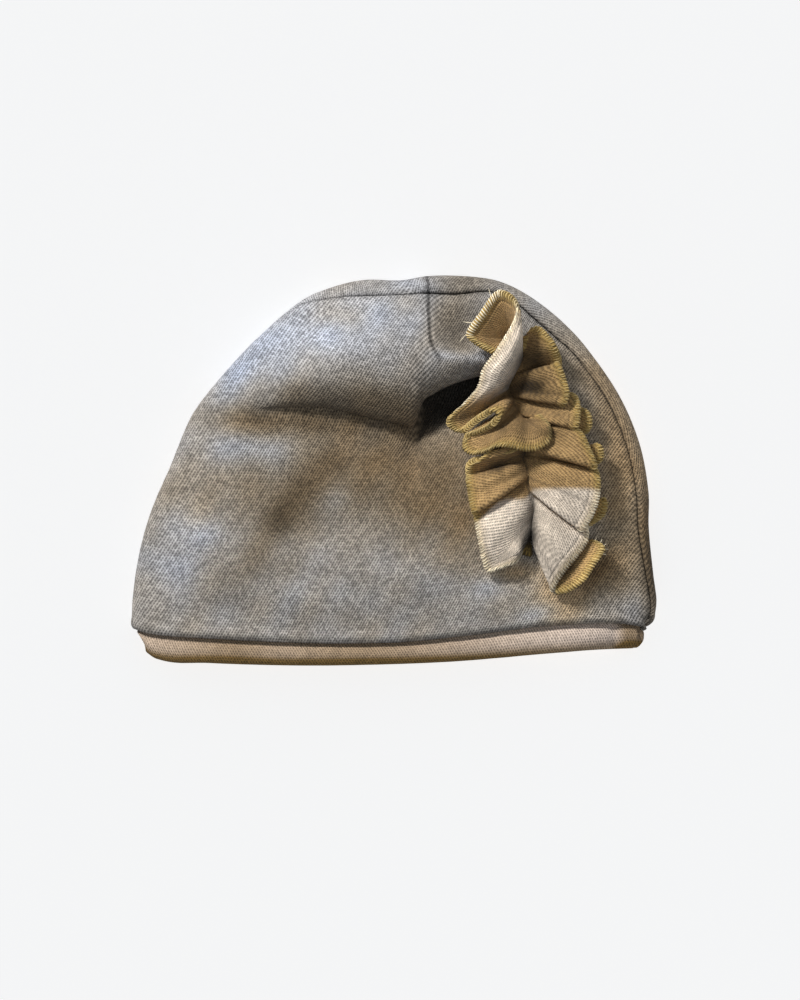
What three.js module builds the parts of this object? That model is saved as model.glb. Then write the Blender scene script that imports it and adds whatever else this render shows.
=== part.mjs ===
// A child's knitted hat with a ruffle, lying flat on its back.
// Millimetres: X runs across the hat, Y from the mouth up to the crown, Z up from the table.
import * as THREE from "three";

// Driving dimensions
const WALL = 2.4; // doubled jersey of the crown
const ROLL = 5.5; // radius of the fold along the sides and the top
const ROLL_EASE = 12; // distance over which the roll's extra cloth fades out
const SEAM_GAP = 0.7; // between the two crown panels, along the cloth
const SEAM_DIP = 0.8; // depth of the groove that the panel seam pulls in
const SEAM_WIDTH = 1.5;
const PUFF = 8; // how far the front stands above the rolled edges
const PUFF_EASE = 16; // distance from the outline over which it rises
const DART_DIP = 1.1;
const DART_WIDTH = 1.3;
const BACK_HEM_RISE = 1.2; // the back hem lies this much higher than the front one
const FAN_CENTRE = new THREE.Vector2(4, 20); // the mesh is finest here, beside the deep fold
const BAND_GAP = 0.75; // between the crown's hem and the band's roll
const BAND_TUCK = 5; // how far the band reaches up inside the hem
const BAND_PULL = 6.5; // how far the band's lower corners are drawn in
const BAND_PULL_POWER = 1.5;
const RUFFLE_WALL = 2;
const GATHERED_WALL = 0.8; // the cloth is pinched this thin by the gathering stitches
const RUFFLE_BASE = 18; // height of the front under the ruffle
const RUFFLE_SEAT = 0.3; // gap between the gathers and the crown
const GATHER_REACH = 0.35; // share of a fold's width in which it rises from the gathers

// Mesh steps
const OUTLINE_SAMPLES = 220;
const OUTLINE_STEPS = 40;
const HEM_STEPS = 22;
const HEM_OVERRUN = 30; // how far the outline is carried on below the hem
const EDGE_ROWS = [0, 1.8, 4, 6.6, 9.6, 13]; // distances of a panel's outer rows from its edge
const PANEL_ROWS = 6; // evenly spaced rows over the rest of a panel
const BAND_STEPS = 24;
const CROWDING = 0.85; // how strongly the steps across the mouth crowd towards its ends
const RUFFLE_STEPS = 54;
const RUFFLE_CELLS = 4; // across each half of the ruffle
const NORMAL_STEP = 0.4;
const FINE_ROOTS = 3000;
const TOUCHING = 1e-3; // nearer than this, a point is on the outline

// Outline of the flat hat from the left end of the hem over the crown to the right end. Strip is
// how far the back panel is rolled over onto the front, measured round the roll.
const OUTLINE = [
  { x: -105.3, y: -63.6, strip: -3 },
  { x: -105.1, y: -52, strip: -3 },
  { x: -102.3, y: -32.8, strip: -3 },
  { x: -97.5, y: -16, strip: -3 },
  { x: -90.2, y: 1, strip: -3 },
  { x: -82.2, y: 20.3, strip: -3 },
  { x: -75.8, y: 29.9, strip: -2.5 },
  { x: -58.9, y: 49.2, strip: -1 },
  { x: -39.6, y: 66.5, strip: 3.5 },
  { x: -29.9, y: 71.8, strip: 6.6 },
  { x: -13.5, y: 76.3, strip: 9.4 },
  { x: 3, y: 76.3, strip: 9 },
  { x: 12.5, y: 77.9, strip: 9.8 },
  { x: 25, y: 78.1, strip: 10.2 },
  { x: 39.2, y: 76.6, strip: 8.2 },
  { x: 48.8, y: 73, strip: 8 },
  { x: 58.5, y: 66.9, strip: 9.2 },
  { x: 68.1, y: 58.9, strip: 9.4 },
  { x: 77, y: 49.2, strip: 8.6 },
  { x: 90.2, y: 29.9, strip: 8.4 },
  { x: 98.3, y: 10.7, strip: 8.4 },
  { x: 101.9, y: -8.6, strip: 8.1 },
  { x: 102, y: -23.1, strip: 7.4 },
  { x: 103.9, y: -42.4, strip: 6 },
  { x: 105.1, y: -52.1, strip: 5.4 },
  { x: 104.2, y: -58.5, strip: 5 },
  { x: 101.5, y: -63.6, strip: 4.8 },
];

// The hem's lower edge and the band's lower edge, from left to right.
const HEM = [
  { x: -105.3, y: -63.6, band: 3 },
  { x: -97.5, y: -65.7, band: 9.4 },
  { x: -74.6, y: -67.3, band: 9.3 },
  { x: -38.4, y: -68.9, band: 8.7 },
  { x: -1.8, y: -68.9, band: 8.2 },
  { x: 26.7, y: -66.5, band: 9.3 },
  { x: 55.7, y: -62.9, band: 10.4 },
  { x: 77, y: -61.3, band: 10.3 },
  { x: 92, y: -61.1, band: 9.9 },
  { x: 101.5, y: -63.6, band: 4 },
];

// The lip of the crown's sagging fold, from left to right. Below the lip the cloth drops over the
// steep distance and comes back over the reach.
const SAG = [
  { x: -95, lip: 32, drop: 0, steep: 12, reach: 14 },
  { x: -72, lip: 33, drop: 4, steep: 9, reach: 15 },
  { x: -45, lip: 33, drop: 8, steep: 8, reach: 15 },
  { x: -25, lip: 31.5, drop: 10, steep: 7, reach: 15 },
  { x: -8, lip: 28.5, drop: 12, steep: 6, reach: 15 },
  { x: 3, lip: 24.5, drop: 13, steep: 5, reach: 15 },
  { x: 9, lip: 24, drop: 14.5, steep: 4, reach: 15 },
  { x: 14, lip: 30, drop: 16, steep: 4, reach: 17 },
  { x: 22, lip: 34.5, drop: 16.5, steep: 4, reach: 20 },
  { x: 37, lip: 39, drop: 14, steep: 5, reach: 22 },
  { x: 50, lip: 42, drop: 6, steep: 8, reach: 20 },
  { x: 64, lip: 44, drop: 0, steep: 12, reach: 20 },
];

// Soft bulges and dents of the front: centre, half length, half width, turn from +X and height.
const DENTS = [
  { x: -22, y: 41, long: 52, wide: 19, turn: 4, height: 10 },
  { x: 27, y: 57, long: 17, wide: 9, turn: -22, height: -4.5 },
  { x: 28, y: 44, long: 17, wide: 7, turn: -6, height: 6.5 },
  { x: -62, y: 14, long: 18, wide: 11, turn: 30, height: 1.8 },
  { x: -42, y: -16, long: 34, wide: 13, turn: -24, height: -3 },
  { x: -12, y: -6, long: 20, wide: 10, turn: 20, height: 1.6 },
  { x: -72, y: -38, long: 26, wide: 14, turn: 12, height: 2 },
  { x: -10, y: -44, long: 46, wide: 12, turn: 4, height: 1.6 },
  { x: 84, y: 6, long: 30, wide: 9, turn: 80, height: -1.6 },
  { x: 76, y: -46, long: 24, wide: 9, turn: 20, height: 1.4 },
];

// Dart seam of the front, from the fold up to the panel seam.
const DART = [
  { y: 42, x: 19 },
  { y: 49, x: 15.4 },
  { y: 58, x: 13.5 },
  { y: 71.4, x: 13.9 },
  { y: 82, x: 12.6 },
];

// Section of the rolled band: how far down it, from -1 at the tucked edge over 0 at the hem to 1
// at the bottom, and how far inside the crown's outer face.
const BAND_SECTION = [
  { down: -1, inset: 3.7 },
  { down: 0, inset: 3.7 },
  { down: 0.14, inset: 2 },
  { down: 0.4, inset: 0.9 },
  { down: 0.72, inset: 1.3 },
  { down: 0.93, inset: 2.6 },
  { down: 1, inset: 3.9 },
  { down: 0.9, inset: 5.1 },
  { down: -1, inset: 5.1 },
];

// Line of stitches that gathers the ruffle, from the crown end down.
const GATHER = [
  { x: 43.6, y: 43 },
  { x: 45.6, y: 34.4 },
  { x: 48.4, y: 27 },
  { x: 51.4, y: 20 },
  { x: 51.3, y: 12.3 },
  { x: 52.1, y: 5 },
  { x: 53.3, y: -0.2 },
  { x: 54.1, y: -9 },
  { x: 55.7, y: -14 },
  { x: 54.9, y: -20 },
  { x: 53.7, y: -28 },
];

// Folds of the ruffle's left half in order down the strip, a row for each turn of its free edge:
// where the edge is, its rise over the crown, its place on the gathers and the fold's bow.
const LEFT_FOLDS = [
  { x: 40, y: 46.5, rise: 13, root: 0, bow: -5 },
  { x: 31, y: 53, rise: 14, root: 0.01, bow: -6 },
  { x: 36, y: 62, rise: 14.5, root: 0.02, bow: -8 },
  { x: 41.6, y: 69.6, rise: 16, root: 0.03, bow: -8 },
  { x: 49, y: 63, rise: 19, root: 0.045, bow: -2 },
  { x: 46.5, y: 54, rise: 20.5, root: 0.06, bow: 2 },
  { x: 39, y: 44, rise: 19.5, root: 0.08, bow: 2 },
  { x: 33.5, y: 32, rise: 15.5, root: 0.12, bow: 2 },
  { x: 22, y: 21, rise: 8, root: 0.16, bow: 3 },
  { x: 25, y: 15.5, rise: 5, root: 0.18, bow: 1 },
  { x: 31, y: 19.5, rise: 8, root: 0.195, bow: 0 },
  { x: 38.5, y: 25, rise: 12, root: 0.21, bow: 1 },
  { x: 41.5, y: 21, rise: 12, root: 0.225, bow: 1 },
  { x: 35, y: 14.5, rise: 9.5, root: 0.24, bow: 1 },
  { x: 28, y: 10.5, rise: 6.5, root: 0.26, bow: 2 },
  { x: 31, y: 7, rise: 7, root: 0.28, bow: 3 },
  { x: 41, y: 10, rise: 11, root: 0.3, bow: 2 },
  { x: 50, y: 9, rise: 12, root: 0.315, bow: 1 },
  { x: 61.5, y: 12.5, rise: 11.5, root: 0.33, bow: 1 },
  { x: 58, y: 20.5, rise: 9.5, root: 0.345, bow: 0 },
  { x: 52, y: 11, rise: 6, root: 0.41, bow: 0 },
  { x: 39, y: 6, rise: 6, root: 0.48, bow: 1 },
  { x: 29.5, y: 1, rise: 4, root: 0.54, bow: 0 },
  { x: 30, y: -9, rise: 5.5, root: 0.63, bow: 3 },
  { x: 31.5, y: -16, rise: 4.5, root: 0.7, bow: 0 },
  { x: 33, y: -25, rise: 6, root: 0.78, bow: 4 },
  { x: 37, y: -39.5, rise: 4, root: 0.87, bow: 5 },
  { x: 47.5, y: -36, rise: 6.5, root: 0.93, bow: 3 },
  { x: 51, y: -29, rise: 2.5, root: 0.98, bow: 0 },
];

// Folds of the ruffle's right half, in the same form.
const RIGHT_FOLDS = [
  { x: 51, y: 48, rise: 4, root: 0, bow: 0 },
  { x: 55.7, y: 55, rise: 6, root: 0.02, bow: 0 },
  { x: 61.3, y: 51.7, rise: 7, root: 0.04, bow: 0 },
  { x: 65.3, y: 43, rise: 5.5, root: 0.07, bow: 1 },
  { x: 60.5, y: 39.5, rise: 3.5, root: 0.1, bow: 0 },
  { x: 65.7, y: 40, rise: 9, root: 0.12, bow: 2 },
  { x: 67.7, y: 31, rise: 9.5, root: 0.17, bow: 2 },
  { x: 63, y: 26, rise: 4.5, root: 0.21, bow: 0 },
  { x: 71, y: 30, rise: 6.5, root: 0.23, bow: 1 },
  { x: 72.8, y: 24, rise: 9, root: 0.26, bow: 1 },
  { x: 71, y: 17.6, rise: 7, root: 0.3, bow: 1 },
  { x: 65, y: 17, rise: 3.5, root: 0.34, bow: 0 },
  { x: 75.5, y: 21.5, rise: 3, root: 0.36, bow: 0 },
  { x: 77, y: 16, rise: 3.5, root: 0.37, bow: 0 },
  { x: 69.5, y: 16, rise: 7, root: 0.4, bow: 2 },
  { x: 78.2, y: 7.5, rise: 8.5, root: 0.46, bow: 3 },
  { x: 80.6, y: -1.5, rise: 8, root: 0.56, bow: 1 },
  { x: 81, y: -11, rise: 8.5, root: 0.66, bow: 3 },
  { x: 77.4, y: -21, rise: 5, root: 0.74, bow: 1 },
  { x: 75.8, y: -27, rise: 7, root: 0.79, bow: 3 },
  { x: 71.4, y: -34, rise: 8.5, root: 0.85, bow: 4 },
  { x: 66.5, y: -41, rise: 8.5, root: 0.92, bow: 3 },
  { x: 63.3, y: -47.5, rise: 6, root: 0.97, bow: 2 },
  { x: 66.9, y: -48, rise: 3, root: 0.98, bow: 0 },
  { x: 75, y: -41, rise: 2.5, root: 0.985, bow: 0 },
  { x: 82.5, y: -32, rise: 4, root: 0.99, bow: -1 },
  { x: 78.5, y: -28.5, rise: 2.5, root: 1, bow: -1 },
];

// Smooth curve through a table's rows: the value of a column where the key column is "at".
function smooth(rows, key, column, at) {
  const last = rows.length - 1;
  const held = Math.min(Math.max(at, rows[0][key]), rows[last][key]);
  let i = 0;
  while (i < last - 1 && rows[i + 1][key] < held) i += 1;
  const slope = (k) => {
    const before = rows[Math.max(k - 1, 0)];
    const after = rows[Math.min(k + 1, last)];
    return (after[column] - before[column]) / (after[key] - before[key]);
  };
  const span = rows[i + 1][key] - rows[i][key];
  const t = (held - rows[i][key]) / span;
  const rise = t * t * (3 - 2 * t);
  const bend = (slope(i) * (1 - t) - slope(i + 1) * t) * t * (1 - t) * span;
  return rows[i][column] * (1 - rise) + rows[i + 1][column] * rise + bend;
}

// Adds to each row its distance along the table's own polyline.
function measured(rows) {
  let along = 0;
  return rows.map((row, i) => {
    if (i > 0) along += Math.hypot(row.x - rows[i - 1].x, row.y - rows[i - 1].y);
    return { ...row, along };
  });
}

const outline = measured(OUTLINE);
const outlineLength = outline[outline.length - 1].along;
const gather = measured(GATHER);
const gatherLength = gather[gather.length - 1].along;

// Fine polyline of the outline, carried straight down past both ends of the hem.
const edgeLine = Array.from({ length: OUTLINE_SAMPLES + 1 }, (_, i) => {
  const along = (outlineLength * i) / OUTLINE_SAMPLES;
  return { x: smooth(outline, "along", "x", along), y: smooth(outline, "along", "y", along), along };
});
edgeLine.unshift({ ...edgeLine[0], y: edgeLine[0].y - HEM_OVERRUN });
edgeLine.push({ ...edgeLine[edgeLine.length - 1], y: edgeLine[edgeLine.length - 1].y - HEM_OVERRUN });

// Nearest place of the outline to a point: its distance, positive inside, and the way inwards.
function nearestEdge(x, y) {
  let best = { squared: Infinity };
  for (let i = 1; i < edgeLine.length; i += 1) {
    const a = edgeLine[i - 1];
    const b = edgeLine[i];
    const dx = b.x - a.x;
    const dy = b.y - a.y;
    const share = ((x - a.x) * dx + (y - a.y) * dy) / (dx * dx + dy * dy);
    const t = Math.min(Math.max(share, 0), 1);
    const px = a.x + dx * t;
    const py = a.y + dy * t;
    const squared = (x - px) ** 2 + (y - py) ** 2;
    if (squared < best.squared) {
      const length = Math.hypot(dx, dy);
      const along = a.along + (b.along - a.along) * t;
      best = { squared, px, py, inX: dy / length, inY: -dx / length, along };
    }
  }
  const inside = (x - best.px) * best.inX + (y - best.py) * best.inY;
  const distance = Math.sign(inside) * Math.sqrt(best.squared);
  if (Math.abs(distance) < TOUCHING) return { ...best, distance };
  return { ...best, distance, inX: (x - best.px) / distance, inY: (y - best.py) / distance };
}

// The seam between the two panels, measured round the roll from the outline's tip.
const stripAt = (along) => smooth(outline, "along", "strip", along);

// How far in from the outline a place on the cloth lies, given its distance round the roll.
function planInset(round) {
  const quarter = (ROLL * Math.PI) / 2;
  if (round < quarter) return ROLL * (1 - Math.cos(round / ROLL));
  return round - (quarter - ROLL) * Math.exp((quarter - round) / ROLL_EASE);
}

const bell = (v) => Math.exp(-v * v);

function dents(x, y) {
  return DENTS.reduce((sum, dent) => {
    const turn = THREE.MathUtils.degToRad(dent.turn);
    const u = (x - dent.x) * Math.cos(turn) + (y - dent.y) * Math.sin(turn);
    const v = (y - dent.y) * Math.cos(turn) - (x - dent.x) * Math.sin(turn);
    return sum + dent.height * bell(u / dent.long) * bell(v / dent.wide);
  }, 0);
}

function sag(x, y) {
  const below = smooth(SAG, "x", "lip", x) - y;
  const fall = THREE.MathUtils.smoothstep(below, 0, smooth(SAG, "x", "steep", x) * 2);
  const back = bell(Math.max(below, 0) / smooth(SAG, "x", "reach", x));
  return -smooth(SAG, "x", "drop", x) * fall * back;
}

function dartDip(x, y) {
  if (y < DART[0].y) return 0;
  return -DART_DIP * bell((x - smooth(DART, "y", "x", y)) / DART_WIDTH);
}

// Height of the front's outer face over a place at the given inset from the outline.
function frontHeight(x, y, edge) {
  const inset = Math.max(edge.distance, 0);
  const short = Math.max(ROLL - inset, 0);
  const roll = ROLL + Math.sqrt(ROLL * ROLL - short * short);
  const risen = 1 - bell(inset / PUFF_EASE);
  const seam = planInset(Math.max(stripAt(edge.along), 0)) - inset;
  const groove = stripAt(edge.along) > 0 ? SEAM_DIP * bell(seam / SEAM_WIDTH) : 0;
  return roll + risen * (PUFF + dents(x, y) + sag(x, y) + dartDip(x, y)) - groove;
}

// Height of the back's outer face.
function backHeight(edge) {
  const short = Math.max(ROLL - Math.max(edge.distance, 0), 0);
  return ROLL - Math.sqrt(ROLL * ROLL - short * short);
}

// Place on the hat's outer face of a point of a panel's flat pattern. A point outside the outline
// is rolled round it onto the other face.
function place(isFront, u, v) {
  const edge = nearestEdge(u, v);
  const inset = planInset(Math.abs(edge.distance));
  const shift = edge.distance >= 0 ? inset - edge.distance : inset + Math.abs(edge.distance);
  const x = u + edge.inX * shift;
  const y = v + edge.inY * shift;
  const there = { ...edge, distance: inset };
  const onFront = edge.distance >= 0 ? isFront : !isFront;
  return new THREE.Vector3(x, y, onFront ? frontHeight(x, y, there) : backHeight(there));
}

// Way out of the cloth at a point of a panel's flat pattern.
function outwards(isFront, u, v) {
  const alongU = place(isFront, u + NORMAL_STEP, v).sub(place(isFront, u - NORMAL_STEP, v));
  const alongV = place(isFront, u, v + NORMAL_STEP).sub(place(isFront, u, v - NORMAL_STEP));
  return alongU.cross(alongV).normalize().multiplyScalar(isFront ? 1 : -1);
}

const hemLine = (x, isFront) => smooth(HEM, "x", "y", x) + (isFront ? 0 : BACK_HEM_RISE);

// Share of the way across the mouth, with the steps crowded towards its two ends.
const crowded = (even) => even - (CROWDING * Math.sin(2 * Math.PI * even)) / (2 * Math.PI);

// Loop round a panel's flat pattern: up the right side, over the crown, down to the left end of
// the hem and back along the hem.
function patternLoop(isFront) {
  const loop = [];
  const rollOver = isFront ? -1 : 1;
  for (let i = 0; i <= OUTLINE_STEPS; i += 1) {
    const along = outlineLength * (1 - i / OUTLINE_STEPS);
    const x = smooth(outline, "along", "x", along);
    const y = smooth(outline, "along", "y", along);
    const edge = nearestEdge(x, y);
    const over = stripAt(along) * rollOver - SEAM_GAP / 2;
    loop.push(new THREE.Vector2(x - edge.inX * over, y - edge.inY * over));
  }
  const first = loop[0];
  const last = loop[OUTLINE_STEPS];
  for (let i = 1; i < HEM_STEPS; i += 1) {
    loop.push(new THREE.Vector2(THREE.MathUtils.lerp(last.x, first.x, crowded(i / HEM_STEPS)), first.y));
  }
  for (const point of [first, last, ...loop.slice(OUTLINE_STEPS + 1)]) {
    point.y = hemLine(place(isFront, point.x, point.y).x, isFront);
  }
  return loop;
}

// Share of the way from the panel's edge to the fan's centre at which a row of its mesh lies.
function rowShare(row, reach) {
  if (row < EDGE_ROWS.length) return EDGE_ROWS[row] / reach;
  const start = EDGE_ROWS[EDGE_ROWS.length - 1] / reach;
  return start + ((1 - start) * (row - EDGE_ROWS.length + 1)) / PANEL_ROWS;
}

// Closed mesh from an outer skin and an inner one that share a fan of rows round a middle point.
function fanSolid(outer, inner, rows, columns) {
  const middle = rows * columns;
  const triangles = [];
  for (let row = 0; row < rows; row += 1) {
    for (let j = 0; j < columns; j += 1) {
      const next = (j + 1) % columns;
      const a = row * columns + j;
      const b = row * columns + next;
      if (row === rows - 1) triangles.push([a, b, middle]);
      else triangles.push([a, b, b + columns], [a, b + columns, a + columns]);
    }
  }
  const offset = middle + 1;
  const flipped = triangles.map(([a, b, c]) => [a + offset, c + offset, b + offset]);
  const rim = [];
  for (let j = 0; j < columns; j += 1) {
    const next = (j + 1) % columns;
    rim.push([j, j + offset, next + offset], [j, next + offset, next]);
  }
  return meshFrom([...outer, ...inner], [...triangles, ...flipped, ...rim]);
}

function meshFrom(points, triangles) {
  const geometry = new THREE.BufferGeometry().setFromPoints(points);
  geometry.setIndex(triangles.flat());
  return geometry;
}

// Points of a panel on its outer skin, or on its inner one where depth is the wall.
function panelSkin(isFront, loop, depth) {
  const patterns = [];
  for (let row = 0; row < EDGE_ROWS.length + PANEL_ROWS - 1; row += 1) {
    for (const start of loop) {
      patterns.push(start.clone().lerp(FAN_CENTRE, rowShare(row, start.distanceTo(FAN_CENTRE))));
    }
  }
  patterns.push(FAN_CENTRE);
  return patterns.map(({ x, y }) => {
    const way = outwards(isFront, x, y);
    return place(isFront, x, y).addScaledVector(way, -depth);
  });
}

function crownPanel(isFront) {
  const loop = patternLoop(isFront);
  const outer = panelSkin(isFront, loop, 0);
  const inner = panelSkin(isFront, loop, WALL);
  const rows = EDGE_ROWS.length + PANEL_ROWS - 1;
  return isFront ? fanSolid(outer, inner, rows, loop.length) : fanSolid(inner, outer, rows, loop.length);
}

// Where the outline's fine polyline crosses a height on its left or right side.
function tipX(y, isLeft) {
  const line = isLeft ? edgeLine : [...edgeLine].reverse();
  const above = line.findIndex((p) => p.y > y);
  const low = line[above - 1];
  const high = line[above];
  return THREE.MathUtils.lerp(low.x, high.x, (y - low.y) / (high.y - low.y));
}

// Loop round the mouth on the crown's outer face, this far up from the hem: over the front from
// the left tip to the right one, and back under.
function mouthLoop(up) {
  const left = tipX(HEM[0].y + up, true);
  const right = tipX(HEM[HEM.length - 1].y + up, false);
  return Array.from({ length: 2 * BAND_STEPS }, (_, i) => {
    const isFront = i < BAND_STEPS;
    const share = crowded((i % BAND_STEPS) / BAND_STEPS);
    const x = THREE.MathUtils.lerp(left, right, isFront ? share : 1 - share);
    const y = hemLine(x, isFront) + up;
    const edge = nearestEdge(x, y);
    const face = isFront ? frontHeight(x, y, edge) : backHeight(edge);
    return new THREE.Vector3(x, y, i % BAND_STEPS === 0 ? ROLL : face);
  });
}

// The way inwards from a loop round the mouth at one of its points.
function inwards(loop, i) {
  const before = loop[(i + loop.length - 1) % loop.length];
  const after = loop[(i + 1) % loop.length];
  return new THREE.Vector3(after.z - before.z, 0, before.x - after.x).normalize();
}

function rimBand() {
  const atHem = mouthLoop(0);
  const tucked = mouthLoop(BAND_TUCK);
  const points = [];
  for (let i = 0; i < atHem.length; i += 1) {
    const height = smooth(HEM, "x", "band", atHem[i].x);
    for (const { down, inset } of BAND_SECTION) {
      const loop = down < 0 ? tucked : atHem;
      const into = inwards(loop, i);
      const share = Math.max(down, 0);
      const p = loop[i].clone().addScaledVector(into, inset);
      p.x += BAND_PULL * into.x * Math.abs(into.x) * share ** BAND_PULL_POWER;
      if (down >= 0) p.y -= BAND_GAP + share * height;
      points.push(p);
    }
  }
  const size = BAND_SECTION.length;
  const triangles = [];
  for (let i = 0; i < atHem.length; i += 1) {
    for (let k = 0; k < size; k += 1) {
      const a = i * size + k;
      const b = i * size + ((k + 1) % size);
      const ahead = (i === atHem.length - 1 ? -i : 1) * size;
      triangles.push([a, b, b + ahead], [a, b + ahead, a + ahead]);
    }
  }
  return meshFrom(points, triangles);
}

// Lowest that the middle of the ruffle's cloth can lie over a place on the crown.
function ruffleFloor(x, y) {
  const around = [[0, 0], [RUFFLE_WALL, 0], [-RUFFLE_WALL, 0], [0, RUFFLE_WALL], [0, -RUFFLE_WALL]];
  const heights = around.map(([dx, dy]) => frontHeight(x + dx, y + dy, nearestEdge(x + dx, y + dy)));
  return Math.max(...heights) + RUFFLE_SEAT + RUFFLE_WALL / 2;
}

// Point of the ruffle's middle surface: root is the share down the gathers, across runs from -1 at
// the left free edge over 0 at the gathers to 1 at the right one.
function rufflePoint(root, across) {
  const folds = across < 0 ? LEFT_FOLDS : RIGHT_FOLDS;
  const along = root * gatherLength;
  const startX = smooth(gather, "along", "x", along);
  const startY = smooth(gather, "along", "y", along);
  const start = new THREE.Vector3(startX, startY, ruffleFloor(startX, startY));
  const rise = RUFFLE_BASE + smooth(folds, "root", "rise", root);
  const end = new THREE.Vector3(smooth(folds, "root", "x", root), smooth(folds, "root", "y", root), rise);
  const bend = start.clone().lerp(end, GATHER_REACH);
  bend.z = rise + smooth(folds, "root", "bow", root);
  const point = new THREE.QuadraticBezierCurve3(start, bend, end).getPoint(Math.abs(across));
  point.z = Math.max(point.z, ruffleFloor(point.x, point.y));
  return point;
}

// Places on the gathers, as shares of their length, between which the two free edges together run
// an equal length.
function ruffleRoots() {
  let run = 0;
  const runs = Array.from({ length: FINE_ROOTS + 1 }, (_, i) => {
    const root = i / FINE_ROOTS;
    const before = Math.max(i - 1, 0) / FINE_ROOTS;
    for (const folds of [LEFT_FOLDS, RIGHT_FOLDS]) {
      const dx = smooth(folds, "root", "x", root) - smooth(folds, "root", "x", before);
      const dy = smooth(folds, "root", "y", root) - smooth(folds, "root", "y", before);
      run += Math.hypot(dx, dy);
    }
    return { root, run };
  });
  return Array.from({ length: RUFFLE_STEPS + 1 }, (_, i) => {
    const wanted = (run * i) / RUFFLE_STEPS;
    return runs.find((r) => r.run >= wanted).root;
  });
}

// The ruffle as one closed sheet, full thickness from the free edges to half way to the gathers.
function ruffleSolid() {
  const columns = 2 * RUFFLE_CELLS + 1;
  const rows = RUFFLE_STEPS + 1;
  const sheet = [];
  const walls = [];
  for (const root of ruffleRoots()) {
    for (let k = 0; k < columns; k += 1) {
      const across = k / RUFFLE_CELLS - 1;
      const thickness = Math.min(2 * Math.abs(across), 1);
      sheet.push(rufflePoint(root, across));
      walls.push(THREE.MathUtils.lerp(GATHERED_WALL, RUFFLE_WALL, thickness));
    }
  }
  const top = [];
  for (let i = 0; i < rows - 1; i += 1) {
    for (let k = 0; k < columns - 1; k += 1) {
      const a = i * columns + k;
      top.push([a, a + columns, a + columns + 1], [a, a + columns + 1, a + 1]);
    }
  }
  const skin = meshFrom(sheet, top);
  skin.computeVertexNormals();
  const normals = skin.getAttribute("normal");
  const halfWall = (i) => {
    const way = new THREE.Vector3().fromBufferAttribute(normals, i);
    return way.multiplyScalar(walls[i] / 2);
  };
  const upper = sheet.map((p, i) => p.clone().add(halfWall(i)));
  const lower = sheet.map((p, i) => p.clone().sub(halfWall(i)));
  const under = sheet.length;
  const border = [];
  for (let k = 0; k < columns - 1; k += 1) border.push(k);
  for (let i = 0; i < rows - 1; i += 1) border.push(i * columns + columns - 1);
  for (let k = columns - 1; k > 0; k -= 1) border.push((rows - 1) * columns + k);
  for (let i = rows - 1; i > 0; i -= 1) border.push(i * columns);
  const edge = border.flatMap((a, i) => {
    const b = border[(i + 1) % border.length];
    return [[a, b, b + under], [a, b + under, a + under]];
  });
  const bottom = top.map(([a, b, c]) => [a + under, c + under, b + under]);
  return meshFrom([...upper, ...lower], [...top, ...bottom, ...edge]);
}

function named(name, geometry, color) {
  geometry.computeVertexNormals();
  const material = new THREE.MeshStandardMaterial({ color, roughness: 0.95, metalness: 0 });
  const mesh = new THREE.Mesh(geometry, material);
  mesh.name = name;
  return mesh;
}

const hat = new THREE.Group();
hat.add(named("crown_front", crownPanel(true), "#9a958e"));
hat.add(named("crown_back", crownPanel(false), "#96918a"));
hat.add(named("rim_band", rimBand(), "#b9aa94"));
hat.add(named("ruffle", ruffleSolid(), "#c9b596"));

// The origin is under the middle of the hat's bounding box, on the table.
const box = new THREE.Box3().setFromObject(hat, true);
const middle = box.getCenter(new THREE.Vector3());
hat.position.set(-middle.x, -middle.y, -box.min.z);

export default hat;
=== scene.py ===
"""A child's knitted hat with a ruffle, lying flat on its back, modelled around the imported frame.

Shapes are worked out in millimetres in the hat's plan: x across the hat, y from the mouth up to the
crown and z up from the table. to_metres() moves them into the frame.
"""

import math

import bpy
import numpy as np
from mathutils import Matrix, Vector


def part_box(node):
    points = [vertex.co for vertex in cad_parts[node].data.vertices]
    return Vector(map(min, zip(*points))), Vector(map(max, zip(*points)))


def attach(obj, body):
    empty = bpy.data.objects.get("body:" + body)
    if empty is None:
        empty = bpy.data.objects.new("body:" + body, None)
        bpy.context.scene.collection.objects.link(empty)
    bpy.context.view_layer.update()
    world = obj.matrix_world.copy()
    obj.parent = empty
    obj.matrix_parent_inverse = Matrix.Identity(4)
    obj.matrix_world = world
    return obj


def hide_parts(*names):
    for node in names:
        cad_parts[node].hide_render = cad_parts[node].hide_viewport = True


def table(columns, rows):
    """A small table as a dict of arrays, one for each named column."""
    return dict(zip(columns.split(), np.array(rows, float).T))


# Driving dimensions, in millimetres
WALL = 2.4  # doubled jersey of the crown
ROLL = 5.5  # radius of the fold along the sides and the top
ROLL_EASE = 12  # distance over which the roll's extra cloth fades out
SEAM_GAP = 0.1  # between the two crown panels, along the cloth
SEAM_DIP = 0.8  # depth of the groove that the panel seam pulls in
SEAM_WIDTH = 1.5  # half width of that groove
SEAM_ROUND = 0.7  # radius of a panel's turned edge
HEM_ROUND = 2.0  # radius of the hem's fold
PUFF = 8  # how far the front stands above the rolled edges
PUFF_EASE = 16  # distance from the outline over which it rises
DART_DIP = 1.7  # depth of the dart seam's groove
DART_WIDTH = 0.55  # its half width
BACK_HEM_RISE = 1.2  # the back hem lies this much higher than the front one
BAND_GAP = 0.5  # between the crown's hem and the band's roll
BAND_TUCK = 5  # how far the band reaches up inside the hem
BAND_PULL = (6.5, 1.5)  # how far the band's lower left and right corners are drawn in
BAND_HEIGHT = 9  # of its section as a whole, which HEM varies along the hem
BAND_DEEPEST = 5.2  # deepest that a crease takes it inside the crown's outer face
RUFFLE_WALL = 1.9  # thickness of the ruffle's cloth
GATHERED_WALL = 0.8  # the cloth is pinched this thin by the gathering stitches
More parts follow.
